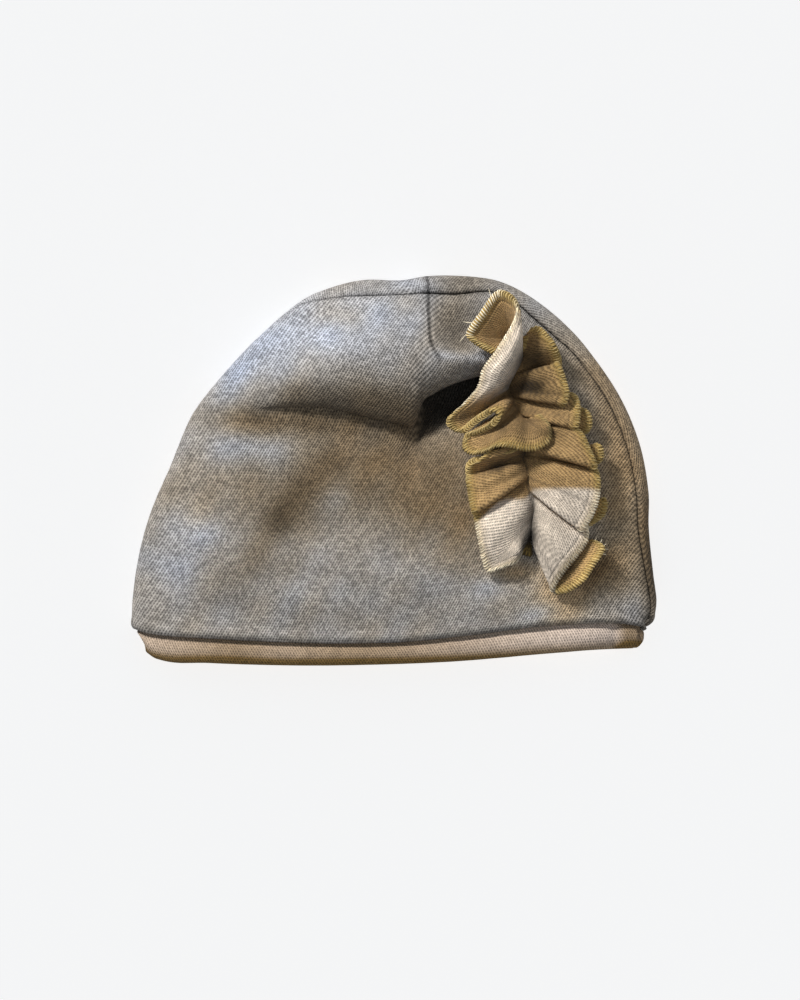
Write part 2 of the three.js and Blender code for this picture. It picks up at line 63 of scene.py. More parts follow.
RUFFLE_BASE = 18  # height of the front under the ruffle
RUFFLE_SEAT = 0.3  # least gap between the crown and the ruffle
GATHER_REACH = 0.35  # share of a fold's width in which it rises from the gathers

# Outline of the flat hat from the left end of the hem over the crown to the right end. Strip is
# how far the back panel is rolled over onto the front, measured round the roll.
OUTLINE = table("x y strip", [
    (-105.3, -63.6, -3),
    (-105.1, -52, -3),
    (-102.3, -32.8, -3),
    (-97.5, -16, -3),
    (-90.2, 1, -3),
    (-82.2, 20.3, -3),
    (-75.8, 29.9, -2.5),
    (-58.9, 49.2, -1),
    (-39.6, 66.5, 3.5),
    (-29.9, 71.8, 6.6),
    (-13.5, 76.3, 9.4),
    (3, 76.3, 9),
    (12.5, 77.9, 9.8),
    (25, 78.1, 10.2),
    (39.2, 76.6, 8.2),
    (48.8, 73, 8),
    (58.5, 66.9, 9.2),
    (68.1, 58.9, 9.4),
    (77, 49.2, 8.6),
    (90.2, 29.9, 8.4),
    (98.3, 10.7, 8.4),
    (101.9, -8.6, 8.1),
    (102, -23.1, 7.4),
    (103.9, -42.4, 6),
    (105.1, -52.1, 5.4),
    (104.2, -58.5, 5),
    (101.5, -63.6, 4.8),
])

# The hem's lower edge and the band's height below it, from left to right.
HEM = table("x y band", [
    (-105.3, -63.6, 3),
    (-97.5, -65.7, 9.4),
    (-74.6, -67.3, 9.3),
    (-38.4, -68.9, 8.7),
    (-1.8, -68.9, 8.2),
    (26.7, -66.5, 9.3),
    (55.7, -62.9, 10.4),
    (77, -61.3, 10.3),
    (92, -61.1, 9.9),
    (98.5, -61.8, 9),
    (101.5, -63.6, 7),
])

# The crown's sagging fold, from left to right: where its rim hangs over the cloth below, how long
# the slope down to the rim is, how far the rim and the valley under it lie below the crown, how far
# the valley is tucked back under the rim and how far the cloth takes to come up again.
SAG = table("x rim slope rim_drop valley tuck reach", [
    (-95, 27, 30, 0, 0, 0, 14),
    (-72, 27, 26, 1.5, 2, 0, 14),
    (-50, 26, 22, 4, 5.2, 0.5, 14),
    (-29, 25.5, 18, 5.5, 7, 1.2, 14),
    (-9.4, 21.2, 17, 6.5, 9, 2, 14),
    (1.8, 18.9, 17, 7.5, 11, 2.5, 14),
    (8, 18.6, 21, 9, 15, 3.5, 14),
    (11.5, 27.5, 16, 8.5, 16.5, 4, 17),
    (15.5, 30.5, 13, 8, 17, 4, 19),
    (23.4, 34.4, 10, 7, 17, 4, 21),
    (35.8, 38.1, 9, 6, 15, 3.5, 22),
    (50, 42, 10, 2, 6, 1, 20),
    (64, 44, 12, 0, 0, 0, 20),
])

# Soft bulges and dents of the front: centre, half length, half width, turn from +X and height.
DENTS = table("x y long wide turn height", [
    (-22, 43, 52, 20, 4, 10),
    (27, 58, 17, 9, -22, -4.5),
    (31, 45.5, 15, 5.5, 0, 4.2),
    (-62, 14, 18, 11, 30, 1.8),
    (-42, -16, 34, 13, -24, -2.2),
    (-12, -6, 20, 10, 20, 1.6),
    (-72, -38, 26, 14, 12, 2),
    (-10, -44, 46, 12, 4, 1.6),
    (84, 6, 30, 9, 80, -1.6),
    (76, -46, 24, 9, 20, 1.4),
])

# Dart seam of the front, from the fold up to the panel seam.
DART = table("y x", [
    (41, 20.5),
    (45.4, 17.5),
    (49.4, 15.2),
    (54, 14.3),
    (60.2, 13.9),
    (66.9, 13.7),
    (71, 13.7),
    (82, 12.6),
])

# Section of the rolled band: how far down it, from -1 at the tucked edge over 0 at the hem to 1
# at the bottom, and how far inside the crown's outer face.
BAND_SECTION = table("down inset", [
    (-1, 3.3),
    (-0.3, 3.3),
    (0, 3.2),
    (0.1, 2.4),
    (0.28, 1.2),
    (0.5, 0.9),
    (0.74, 1.4),
    (0.92, 2.5),
    (1, 3.9),
    (0.9, 5),
    (0.4, 5.1),
    (-1, 5.1),
])

# Creases across the band near its right end: place, half width and depth.
BAND_TUCKS = table("x wide depth", [
    (99.2, 0.7, 0.9),
    (88.6, 2.2, 0.8),
    (93.5, 2.5, -0.4),
])

# Line of stitches that gathers the ruffle, from the crown end down.
GATHER = table("x y", [
    (49.6, 53.3),
    (50.9, 48.4),
    (50.5, 43.6),
    (48, 38.4),
    (46, 33.2),
    (48, 27.1),
    (51.3, 20.3),
    (51.5, 12.3),
    (52.1, 5),
    (53.3, -0.2),
    (54.1, -9),
    (55.7, -14),
    (54.9, -20),
    (53.7, -28),
])

# Folds of the ruffle's left half in order down the strip, a row for each turn of its free edge:
# where the edge is, its rise over the crown, its place on the gathers and the fold's bow.
LEFT_FOLDS = table("x y rise root bow", [
    (40.6, 46.4, 12, 0, -5),
    (35.6, 48.8, 12.5, 0.0122, -6),
    (30.8, 51.9, 13.5, 0.0245, -6),
    (29.9, 54.7, 14, 0.0347, -7),
    (34.8, 61.7, 14.5, 0.049, -8),
    (38.8, 67.7, 15.5, 0.0632, -8),
    (41.8, 70.1, 16.5, 0.0734, -7),
    (46.4, 68.1, 18.5, 0.0857, -4),
    (49, 63.7, 19, 0.102, 0),
    (47.4, 56.9, 18.5, 0.1224, 4),
    (41.2, 46.8, 15.5, 0.153, 8),
    (36, 39.6, 12.5, 0.1938, 10),
    (33.6, 32, 10.5, 0.2221, 9),
    (27.5, 25.5, 8.5, 0.2398, 5),
    (22.1, 20.9, 7, 0.2548, 3),
    (22.7, 17.5, 5.5, 0.2645, 1.5),
    (27.1, 15.7, 5.5, 0.2734, 0),
    (30.8, 18.5, 8, 0.2822, 0),
    (35, 21.5, 10.5, 0.291, 0),
    (39.2, 23.7, 12.5, 0.2999, 0.5),
    (41.8, 22.3, 12.5, 0.3087, 1),
    (39, 18.3, 11, 0.3176, 0.5),
    (34.2, 15.5, 9, 0.3264, 0),
    (28.9, 13.3, 7, 0.337, 1),
    (28.1, 9.4, 6.5, 0.3476, 2),
    (31.2, 7, 7.5, 0.3591, 3),
    (36.4, 7.8, 9.5, 0.3706, 3),
    (41.6, 10.1, 11.5, 0.3812, 2.5),
    (46.8, 9.8, 12.5, 0.39, 2),
    (52.1, 8.6, 12.5, 0.3989, 1.5),
    (57.3, 9.2, 12.5, 0.406, 1.5),
    (61.3, 12.3, 12, 0.4121, 1.5),
    (60.9, 17.5, 11, 0.4183, 1),
    (57.7, 21.1, 9, 0.4254, 0),
    (54.9, 13.9, 5.5, 0.4608, 0),
    (47.2, 8, 6.5, 0.4961, 0.5),
    (38.8, 6.8, 8, 0.5315, 1),
    (34.2, 4.6, 8, 0.558, 1),
    (30.2, 2.8, 6.5, 0.5757, 0),
    (29.7, -1.8, 3, 0.6022, -4),
    (29.9, -5.4, 7, 0.6331, 4.5),
    (30.6, -11.1, 7.5, 0.6641, 4),
    (32, -16.7, 8.5, 0.6906, 5),
    (32.2, -12.7, 2.5, 0.7065, -2),
    (32.8, -19.1, 5.5, 0.726, 1.5),
    (34.6, -29.1, 7.5, 0.8055, 4.5),
    (36, -36, 6, 0.8586, 4),
    (38, -39.8, 5, 0.8851, 4),
    (42.4, -38.6, 6.5, 0.9116, 3.5),
    (47.8, -35.8, 7.5, 0.9381, 3.5),
    (50, -32.4, 4, 0.9558, 1),
    (54.3, -33.2, 1.5, 0.9779, 0),
    (54.5, -29.9, 1.5, 1, 0),
])

# Folds of the ruffle's right half, in the same form.
RIGHT_FOLDS = table("x y rise root bow", [
    (50.9, 48, 4, 0, 0),
    (55.9, 56.2, 6, 0.0306, 0),
    (61, 52.5, 8, 0.0612, 0),
    (63.3, 49, 8.5, 0.0918, 0),
    (65.3, 43.6, 5, 0.1326, -2),
    (65.1, 38, 2, 0.1734, -2),
    (64.7, 41.8, 10, 0.2044, 3),
    (67.2, 35.5, 11, 0.2398, 3.5),
    (68.3, 29.9, 11, 0.2707, 4),
    (66.7, 26.3, 10.5, 0.2928, 4),
    (64.1, 29.9, 1.5, 0.3061, -1),
    (70.8, 29.7, 4, 0.3211, -1),
    (72.6, 26.3, 7, 0.3388, 1),
    (72.6, 20.7, 9.5, 0.3679, 3.5),
    (71.2, 17.1, 9.5, 0.39, 4),
    (65.7, 21.1, 1, 0.4077, -1),
    (75.4, 23.7, 3.5, 0.4201, 0),
    (77.6, 19.5, 4.5, 0.4289, 0),
    (75.8, 15.1, 3.5, 0.4378, 0),
    (66.5, 13.5, 1, 0.4519, -2),
    (69.1, 17.3, 7, 0.4696, 1.5),
    (73.8, 14.7, 9, 0.4873, 2.5),
    (77, 8.2, 10, 0.5182, 3.5),
    (79.4, 1.4, 10.5, 0.5492, 4.5),
    (75.8, 4.2, 2.5, 0.5607, -1),
    (81, 9.8, 4.5, 0.5704, 0),
    (82, 4.6, 4.5, 0.5792, 0),
    (77.4, 1, 3, 0.5889, -1),
    (80, -0.6, 7, 0.6022, 1),
    (80.8, -6.2, 9.5, 0.6376, 3),
    (79.7, -13.1, 9.5, 0.6906, 3),
    (77.4, -18.7, 9.5, 0.7304, 4),
    (74, -23.5, 9.5, 0.7569, 4.5),
    (77, -16.7, 2.5, 0.7657, -1),
    (83.2, -11.9, 4.5, 0.7719, 0),
    (82.6, -17.5, 4.5, 0.779, 0),
    (76.6, -22.3, 2.5, 0.7852, -2),
    (76.2, -25.1, 6, 0.7967, 0.5),
    (75.8, -28.3, 7.5, 0.8144, 3),
    (72.2, -33.4, 9, 0.8586, 4),
    (67.7, -38.8, 9, 0.9028, 4),
    (64.5, -43.6, 8, 0.9425, 3.5),
    (63.1, -47.2, 6.5, 0.9691, 3),
    (64.5, -48.2, 5.5, 0.9752, -1),
    (69.3, -47.2, 7.5, 0.9806, -5),
    (74.6, -43.4, 8, 0.985, -6),
    (78.6, -37.6, 8, 0.9894, -6),
    (82.6, -31.2, 7, 0.9938, -5),
    (79, -28.3, 4.5, 1, -3),
])

# Soft patches of painted light and painted shade on the crown's heather: centre, half length, half
# width, turn from +X, how much lighter the cloth is painted there and how much warmer its grey is.
CROWN_LIGHT_AND_SHADE = table("x y long wide turn light warm", [
    (-26, 57, 46, 14, 6, 0.28, -0.7),
    (-62, 37, 18, 12, 40, 0.1, -0.7),
    (-22, 62, 10, 5, 0, 0, 0.5),
    (-24, 30, 38, 6, -4, -0.35, 0.5),
    (0, 25, 14, 7, -10, -0.25, 0.4),
    (-42, 20, 34, 6, -4, -0.55, 1),
    (-51, 9, 11, 6, -10, 0.2, -0.6),
    (-70, 8, 9, 7, 30, 0.03, -0.4),
    (-66, -8, 30, 10, -6, -0.15, 0.5),
    (-44, -18, 24, 9, 53, -0.6, 0.8),
    (-22, -11, 8, 5, 0, 0.2, -0.5),
    (-24, 3, 12, 6, 0, -0.22, 0.3),
    (-58, 18, 9, 5, 0, -0.12, 0.6),
    (2, 1, 38, 20, 0, -0.48, 1.3),
    (27, -22, 12, 18, 0, -0.25, 0.9),
    (10, -17, 12, 10, 0, -0.12, 0.5),
    (-78, -26, 13, 6, 0, 0.12, -0.4),
    (-89, -38, 14, 10, 0, 0.03, -0.5),
    (-64, -42, 12, 6, 0, -0.1, 0.3),
    (-33, -48, 40, 10, 2, 0.05, -0.1),
    (33, -46, 18, 6, 6, 0.15, -0.4),
    (64, -50, 12, 12, 0, 0.3, 1.2),
    (75, -54, 11, 6, 0, 0.3, 0.2),
    (57, -57, 8, 4, 20, 0.15, -0.8),
    (46, -41, 11, 4, 5, 0.45, 1),
    (93, -53, 10, 7, 20, 0.15, -0.4),
    (92, -4, 14, 36, 0, 0.08, 1.3),
    (86, 20, 8, 16, 20, -0.15, 0.4),
    (104, -30, 5, 30, 0, -0.8, 1.2),
    (80, -41, 11, 4, 52, -0.6, 0.8),
    (87, -41, 12, 10, 30, 0, 0.8),
    (80, 42, 16, 16, 0, 0, 0.8),
    (23, 58, 11, 13, 0, -0.65, 0.6),
    (30, 76, 18, 5, 0, -0.3, 0.2),
    (6, 75, 8, 5, 0, 0.25, -0.5),
    (23, 45.2, 8, 2.4, -8, 0.4, -0.5),
    (36, 19, 7, 3, 30, -0.9, 0.5),
    (37, 45.6, 7, 2.4, 6, 0.5, -0.5),
])

# Soft patches of painted light and painted shade on the ruffle, in the same form but without the
# warmth.
RUFFLE_LIGHT_AND_SHADE = table("x y long wide turn light", [
    (56, 44, 8, 8, 0, -0.75),
    (52, 33.5, 8, 3, 12, -0.65),
    (57, 30.5, 8, 4, 0, -0.58),
    (60, 22, 8, 4, 0, -0.17),
    (62, 14.5, 6, 2.5, 0, -0.6),
    (62, 8.5, 6, 3.5, 20, -0.15),
    (46, 51, 5, 12, -25, 0.3),
    (46, 16, 9, 4, 10, -0.4),
    (40, 56, 7, 9, 0, -0.2),
    (51.5, 6, 2.5, 12, 0, -0.45),
    (43, 2, 9, 2.6, 22, -0.75),
    (66, -17, 13, 15, 0, -0.17),
    (52.5, -32, 3.5, 9, 0, -0.85),
    (42, -35.5, 8, 2.4, 10, -0.3),
    (78, 12, 4, 8, 0, -0.2),
    (77, -38.5, 9, 4, 50, 0.75),
    (36.4, 35.4, 3, 4, 0, -0.25),
    (70.3, -38.6, 12, 2.8, 52, -0.75),
    (28.5, 21, 4.5, 1.6, 15, -0.7),
    (54, -27, 3, 6, 0, -0.5),
    (54.6, -15, 2.2, 9, 0, -0.55),
])

# Loose thread ends of the ruffle: where each starts, its rise over the crown and how far it reaches.
STRAYS = table("x y rise out_x out_y", [
    (32.4, 58.4, 14, -5.3, 0.5),
    (30.4, 55.2, 14, -4.6, -4.6),
    (38.4, 67.4, 15.5, -1.1, 4.7),
    (81.4, -31.2, 7, 3, 2),
    (82, -32, 6.8, 3.2, 0.4),
    (80.4, -30.4, 7, 2.2, 3),
    (81.6, -33, 6.5, 2.8, -0.8),
    (79.6, -29.4, 6.5, 1, 2.6),
])

# Lower edge of the painted shadow over the ruffle, from left to right.
PAINTED_SHADOW_EDGE = table("x y", [
    (28, -22),
    (33, -20),
    (42.4, -12),
    (52, -11),
    (56, -7.5),
    (90, -7.5),
])


def smooth(rows, key, column, at):
    """Smooth curve through a table: the value of a column where the key column is at."""
    keys, values = rows[key], rows[column]
    before = np.maximum(np.arange(len(keys)) - 1, 0)
    after = np.minimum(np.arange(len(keys)) + 1, len(keys) - 1)
    slope = (values[after] - values[before]) / (keys[after] - keys[before])
    held = np.clip(at, keys[0], keys[-1])
    i = np.clip(np.searchsorted(keys, held) - 1, 0, len(keys) - 2)
    span = keys[i + 1] - keys[i]
    t = (held - keys[i]) / span
    rise = t * t * (3 - 2 * t)
    bend = (slope[i] * (1 - t) - slope[i + 1] * t) * t * (1 - t) * span
    return values[i] * (1 - rise) + values[i + 1] * rise + bend


def spot(rows, key, at):
    """x and y of a smooth line through a table where the key column is at."""
    return np.array([smooth(rows, key, column, at) for column in ("x", "y")])


def measured(rows):
    """The table with each row's distance along its own polyline."""
    steps = np.hypot(np.diff(rows["x"]), np.diff(rows["y"]))
    return {**rows, "along": np.concatenate([[0], np.cumsum(steps)])}


def bell(v):
    return np.exp(-v * v)


def ramp(v, low, high):
    """0 below low, 1 above high and smooth between."""
    t = np.clip((v - low) / (high - low), 0, 1)
    return t * t * (3 - 2 * t)


def between(v, rise, fall):
    """1 between two stretches, given as (low, high), over which it comes up and goes down."""
    return ramp(v, *rise) * (1 - ramp(v, *fall))


def unit(vectors):
    """The vectors at length 1."""
    return vectors / np.maximum(np.linalg.norm(vectors, axis=-1, keepdims=True), 1e-9)


def run_of(points, axis=0):
    """Distance along the polylines that points form along an axis."""
    steps = np.linalg.norm(np.diff(points, axis=axis), axis=-1)
    start = np.zeros_like(np.take(steps, [0], axis))
    return np.concatenate([start, np.cumsum(steps, axis)], axis)


def ripples(x, y, length, seed):
    """Soft random waves of about this length, from -1 to 1."""
    rng = np.random.default_rng(seed)
    total = np.zeros_like(x, float)
    waves = 7
    for _ in range(waves):
        turn = rng.uniform(0, math.pi)
        rate = 2 * math.pi / (length * rng.uniform(0.7, 1.5))
        phase = rng.uniform(0, 2 * math.pi)
        total += np.sin((x * math.cos(turn) + y * math.sin(turn)) * rate + phase)
    return total / waves * 1.6


outline = measured(OUTLINE)
outline_length = outline["along"][-1]
gather = measured(GATHER)
gather_length = gather["along"][-1]

OUTLINE_SAMPLES = 320
HEM_OVERRUN = 30  # how far the outline is carried on below the hem


def edge_line():
    """Fine polyline of the outline as rows of x, y and along, carried down past the hem."""
    along = np.linspace(0, outline_length, OUTLINE_SAMPLES + 1)
    line = np.stack([*spot(outline, "along", along), along], 1)
    ends = line[[0, -1]] - (0, HEM_OVERRUN, 0)
    return np.concatenate([ends[:1], line, ends[1:]])


EDGE = edge_line()
CHUNK = 4000  # points looked up at a time


def nearest_edge(x, y):
    """Nearest place of the outline to each point: the distance, positive inside, the way inwards
    and how far along the outline it is."""
    shape = np.shape(x)
    points = np.stack([np.ravel(x), np.ravel(y)], 1)
    a, d = EDGE[:-1], np.diff(EDGE, axis=0)
    length = np.hypot(d[:, 0], d[:, 1])
    parts = []
    for start in range(0, len(points), CHUNK):
        p = points[start : start + CHUNK, None]
        t = np.clip(((p - a[:, :2]) * d[:, :2]).sum(2) / length**2, 0, 1)
        foot = a[:, :2] + t[..., None] * d[:, :2]
        squared = ((p - foot) ** 2).sum(2)
        best = squared.argmin(1)
        row = np.arange(len(best))
        away = p[:, 0] - foot[row, best]
        inward = np.stack([d[best, 1], -d[best, 0]], 1) / length[best, None]
        side = np.where((away * inward).sum(1) < 0, -1.0, 1.0)
        distance = side * np.sqrt(squared[row, best])
        touching = np.abs(distance) < 1e-3
        radial = away / np.where(touching, 1, distance)[:, None]
        way = np.where(touching[:, None], inward, radial)
        along = a[best, 2] + t[row, best] * d[best, 2]
        parts.append(np.column_stack([distance, way, along]))
    return [column.reshape(shape) for column in np.concatenate(parts).T]


def plan_inset(round_way):
    """How far in from the outline a place on the cloth lies, given its distance round the roll."""
    quarter = ROLL * math.pi / 2
    on_roll = ROLL * (1 - np.cos(np.minimum(round_way, quarter) / ROLL))
    beyond = round_way - (quarter - ROLL) * np.exp((quarter - round_way) / ROLL_EASE)
    return np.where(round_way < quarter, on_roll, beyond)


def patches(rows, column, x, y):
    """Sum of a table's soft elliptical patches at each point."""
    total = np.zeros_like(x, float)
    for i, height in enumerate(rows[column]):
        turn = math.radians(rows["turn"][i])
        dx, dy = x - rows["x"][i], y - rows["y"][i]
        u = dx * math.cos(turn) + dy * math.sin(turn)
        v = dy * math.cos(turn) - dx * math.sin(turn)
        total += height * bell(u / rows["long"][i]) * bell(v / rows["wide"][i])
    return total


FOLD_LENGTH = 4.5  # pattern length of each of the two layers between the rim and the open cloth


def sag(x, v):
    """The crown's sagging fold at a place of the pattern: its height and its shift along Y."""
    columns = ("rim", "slope", "rim_drop", "valley", "tuck", "reach")
    rim, slope, rim_drop, valley, tuck, reach = (smooth(SAG, "x", column, x) for column in columns)
    above = np.clip((v - rim) / slope, 0, 1)
    bulge = 1 - np.sqrt(1 - (1 - above) ** 2)
    layers = (rim - v) / FOLD_LENGTH
    out = np.maximum(rim - FOLD_LENGTH - v, 0) / reach
    height = np.where(
        layers < 0,
        -rim_drop * bulge,
        -(rim_drop + (valley - rim_drop) * ramp(layers, 0, 1)) * bell(out),
    )
    hump = np.sin(np.clip(layers, 0, 2) * math.pi / 2) ** 2
    return height, (tuck + FOLD_LENGTH * np.minimum(tuck, 1)) * hump


# Painted shade: the cloth's colour is darkened deep in the pocket under the fold.
POCKET_PAINTED_SHADE = 0.88  # how much darker the cloth is deep under the fold


def under_fold(x, v):
    """How deep a place of the pattern lies in the pocket under the fold, from 0 to 1: the mask of the
    painted shade there.
    """
    below = smooth(SAG, "x", "rim", x) - v
    return between(below, (0, 0.9), (10, 19)) * between(x, (6, 13), (48, 60))


def dart_dip(x, y):
    groove = bell((x - smooth(DART, "y", "x", y)) / DART_WIDTH)
    return -DART_DIP * groove * ramp(y, DART["y"][0], DART["y"][0] + 4)


def front_height(x, y, inset, along):
    """Height of the front's outer face, and its shift along Y, this far in from the outline."""
    inset = np.maximum(inset, 0)
    short = np.maximum(ROLL - inset, 0)
    roll = ROLL + np.sqrt(ROLL**2 - short**2)
    risen = 1 - bell(inset / PUFF_EASE)
    strip = smooth(outline, "along", "strip", along)
    seam = plan_inset(np.maximum(strip, 0)) - inset
    groove = np.where(strip > 0, SEAM_DIP * bell(seam / SEAM_WIDTH) * ramp(strip, 0, 3), 0)
    fold, shift = sag(x, y)
    soft = 0.45 * ripples(x, y, 26, 3) + 0.16 * ripples(x, y, 9, 4)
    lift = PUFF + patches(DENTS, "height", x, y) + fold + dart_dip(x, y) + soft
    return roll + risen * lift - groove, shift * risen


def back_height(inset):
    short = np.maximum(ROLL - np.maximum(inset, 0), 0)
    return ROLL - np.sqrt(ROLL**2 - short**2)


def place(is_front, u, v):
    """Points on the hat's outer face of a panel's flat pattern. What lies outside the outline is
    rolled round it onto the other face."""
    distance, in_x, in_y, along = nearest_edge(u, v)
    inset = plan_inset(np.abs(distance))
    x = u + in_x * (inset - distance)
    y = v + in_y * (inset - distance)
    height, shift = front_height(x, y, inset, along)
    on_front = (distance >= 0) == is_front
    z = np.where(on_front, height, back_height(inset))
    return np.stack([x, y + np.where(on_front, shift, 0), z], -1), distance, along


def hem_line(x, is_front):
    return smooth(HEM, "x", "y", x) + (0 if is_front else BACK_HEM_RISE)


SIDE_SHARE = 0.14  # share of the outline that runs up each side of a panel's patch
EDGE_DENSITY = 2.6  # extra rows near a panel's border
EDGE_REACH = 0.03  # share of the panel over which they thin out


def crowded(steps, places):
    """Shares from 0 to 1, closer together near both ends and near each (place, reach, extra)."""
    fine = np.linspace(0, 1, 4001)
    ends = np.exp(-fine / EDGE_REACH) + np.exp((fine - 1) / EDGE_REACH)
    density = 1 + EDGE_DENSITY * ends
    for place_at, reach, extra in places:
        density = density + extra * bell((fine - place_at) / reach)
    total = np.concatenate([[0], np.cumsum((density[1:] + density[:-1]) / 2)])
    return np.interp(np.linspace(0, 1, steps + 1), total / total[-1], fine)


def seam_point(along, is_front):
    """Point of a panel's pattern on its edge, where the panel seam lies."""
    step = 0.5
    x, y = spot(outline, "along", along)
    dx, dy = spot(outline, "along", along + step) - spot(outline, "along", along - step)
    length = np.hypot(dx, dy)
    strip = smooth(outline, "along", "strip", along)
    over = strip * (-1 if is_front else 1) - SEAM_GAP / 2
    point = np.stack([x - dy / length * over, y + dx / length * over], -1)
    point[..., 1] = np.maximum(point[..., 1], hem_line(point[..., 0], is_front))
    return point


def pattern_grid(is_front, s, t):
    """A panel's flat pattern as a grid of points, s across from left to right and t up."""
    left = seam_point(outline_length * SIDE_SHARE * t, is_front)
    right = seam_point(outline_length * (1 - SIDE_SHARE * t), is_front)
    top = seam_point(outline_length * (SIDE_SHARE + (1 - 2 * SIDE_SHARE) * s), is_front)
    bottom_x = left[0, 0] + (right[0, 0] - left[0, 0]) * s
    flat, _, _ = place(is_front, bottom_x, np.full_like(bottom_x, left[0, 1]))
    bottom_y = hem_line(flat[:, 0], is_front)
    bottom_y[0], bottom_y[-1] = left[0, 1], right[0, 1]
    bottom = np.stack([bottom_x, bottom_y], 1)
    across, up = s[None, :, None], t[:, None, None]
    ruled = (1 - up) * bottom + up * top + (1 - across) * left[:, None] + across * right[:, None]
    corners = (
        (1 - up) * ((1 - across) * bottom[0] + across * bottom[-1])
        + up * ((1 - across) * top[0] + across * top[-1])
    )
    return ruled - corners


def grid_normals(points):
    """Unit normals of a grid of points."""
    return unit(np.cross(np.gradient(points, axis=1), np.gradient(points, axis=0)))


def softened(values, passes):
    """A grid of values, each averaged with its neighbours this many times."""
    for _ in range(passes):
        padded = np.pad(values, ((1, 1), (1, 1), (0, 0)), mode="edge")
        values = (
            padded[1:-1, 1:-1] * 2
            + padded[:-2, 1:-1]
            + padded[2:, 1:-1]
            + padded[1:-1, :-2]
            + padded[1:-1, 2:]
        ) / 6
    return values


def evened(values, reach):
    """A grid of values, each averaged with its row's neighbours up to this many columns away."""
    padded = np.pad(values, ((0, 0), (reach, reach)), mode="reflect", reflect_type="odd")
    weights = bell(np.arange(-reach, reach + 1) / reach * 1.6)
    columns = values.shape[1]
    parts = [weight * padded[:, k : k + columns] for k, weight in enumerate(weights)]
    return np.sum(parts, 0) / weights.sum()


def round_over(distance, radius):
    """Drop of a rounded edge, this far in from its end."""
    near = np.clip(1 - distance / radius, 0, 1)
    return radius * (1 - np.sqrt(np.maximum(1 - near**2, 0)))


def quads_of(rows, columns, wraps=False):
    """Quads of a grid of vertices, whose columns may close round."""
    row, column = np.meshgrid(np.arange(rows - 1), np.arange(columns - (not wraps)), indexing="ij")
    a = row * columns + column
    b = row * columns + (column + 1) % columns
    return np.stack([a, b, b + columns, a + columns], -1).reshape(-1, 4)


def shell_faces(rows, columns):
    """Quads of a closed shell made of an outer grid and an inner grid of the same size."""
    count = rows * columns
    outer = quads_of(rows, columns)
    inner = outer[:, ::-1] + count
    index = np.arange(count).reshape(rows, columns)
    border = np.concatenate([index[0], index[1:, -1], index[-1, -2::-1], index[-2:0:-1, 0]])
    ahead = np.roll(border, -1)
    rim = np.stack([border, border + count, ahead + count, ahead], 1)
    return np.concatenate([outer, inner, rim])


def to_metres(points):
    return (np.asarray(points) + PLAN_SHIFT) / 1000


def make_object(name, points, faces, uv, tint):
    """A mesh object from plan points. uv and tint are given for each vertex."""
    mesh = bpy.data.meshes.new(name)
    mesh.from_pydata(to_metres(points).tolist(), [], faces.tolist())
    loops = np.empty(len(mesh.loops), np.int32)
    mesh.loops.foreach_get("vertex_index", loops)
    layer = mesh.uv_layers.new(name="knit")
    layer.data.foreach_set("uv", uv[loops].astype(np.float32).ravel())
    colors = mesh.color_attributes.new("tint", "FLOAT_COLOR", "POINT")
    rgba = np.concatenate([tint, np.ones((len(tint), 1))], 1)
    colors.data.foreach_set("color", rgba.astype(np.float32).ravel())
    mesh.polygons.foreach_set("use_smooth", np.full(len(mesh.polygons), True))
    mesh.validate()
    obj = bpy.data.objects.new(name, mesh)
    HAT.objects.link(obj)
    return obj


# The crown's heather as a linear reflectance, and how each channel's logarithm moves with warmth.
HEATHER = np.array([0.3, 0.277, 0.252])
WARMTH = np.array([0.06, -0.14, -0.48])


def crown_tint(x, y):
    # painted light and shade from the patches, over the heather's own random ripples
    light = patches(CROWN_LIGHT_AND_SHADE, "light", x, y) + 0.1 * ripples(x, y, 19, 8)
    warm = patches(CROWN_LIGHT_AND_SHADE, "warm", x, y) + 0.18 * ripples(x, y, 15, 9)
    return HEATHER * (1 + light)[..., None] * np.exp(warm[..., None] * WARMTH)


DART_COLUMNS = (0.538, 0.022, 4.5)  # where the dart needs finer columns, as crowded() takes it
FOLD_ROWS = (0.62, 0.07, 1.2)  # where the sagging fold needs finer rows
SEAM_SHOWN = (8, 15)  # the panel seam grows from faint to clear between these places across
OUTER_PASSES = 3  # how often the normals of the outer face are softened
INNER_PASSES = 6  # and those of the inner face
KNIT_REACH = 12  # columns over which the knit's rows are evened


def painted_seam_shade(points, from_seam, from_hem, shown):
    """Painted shade of a panel beside its seam, its hem and the dart: how light its colour is left
    there, 1 being the open cloth.
    """
    sewn = (0.1 + 0.25 * shown) * bell(from_seam / 0.8) + 0.3 * bell((from_hem - 0.8) / 1.2)
    sewn = sewn - 0.45 * dart_dip(points[..., 0], points[..., 1]) * (points[..., 2] > ROLL)
    return 1 - np.minimum(sewn, 0.7)


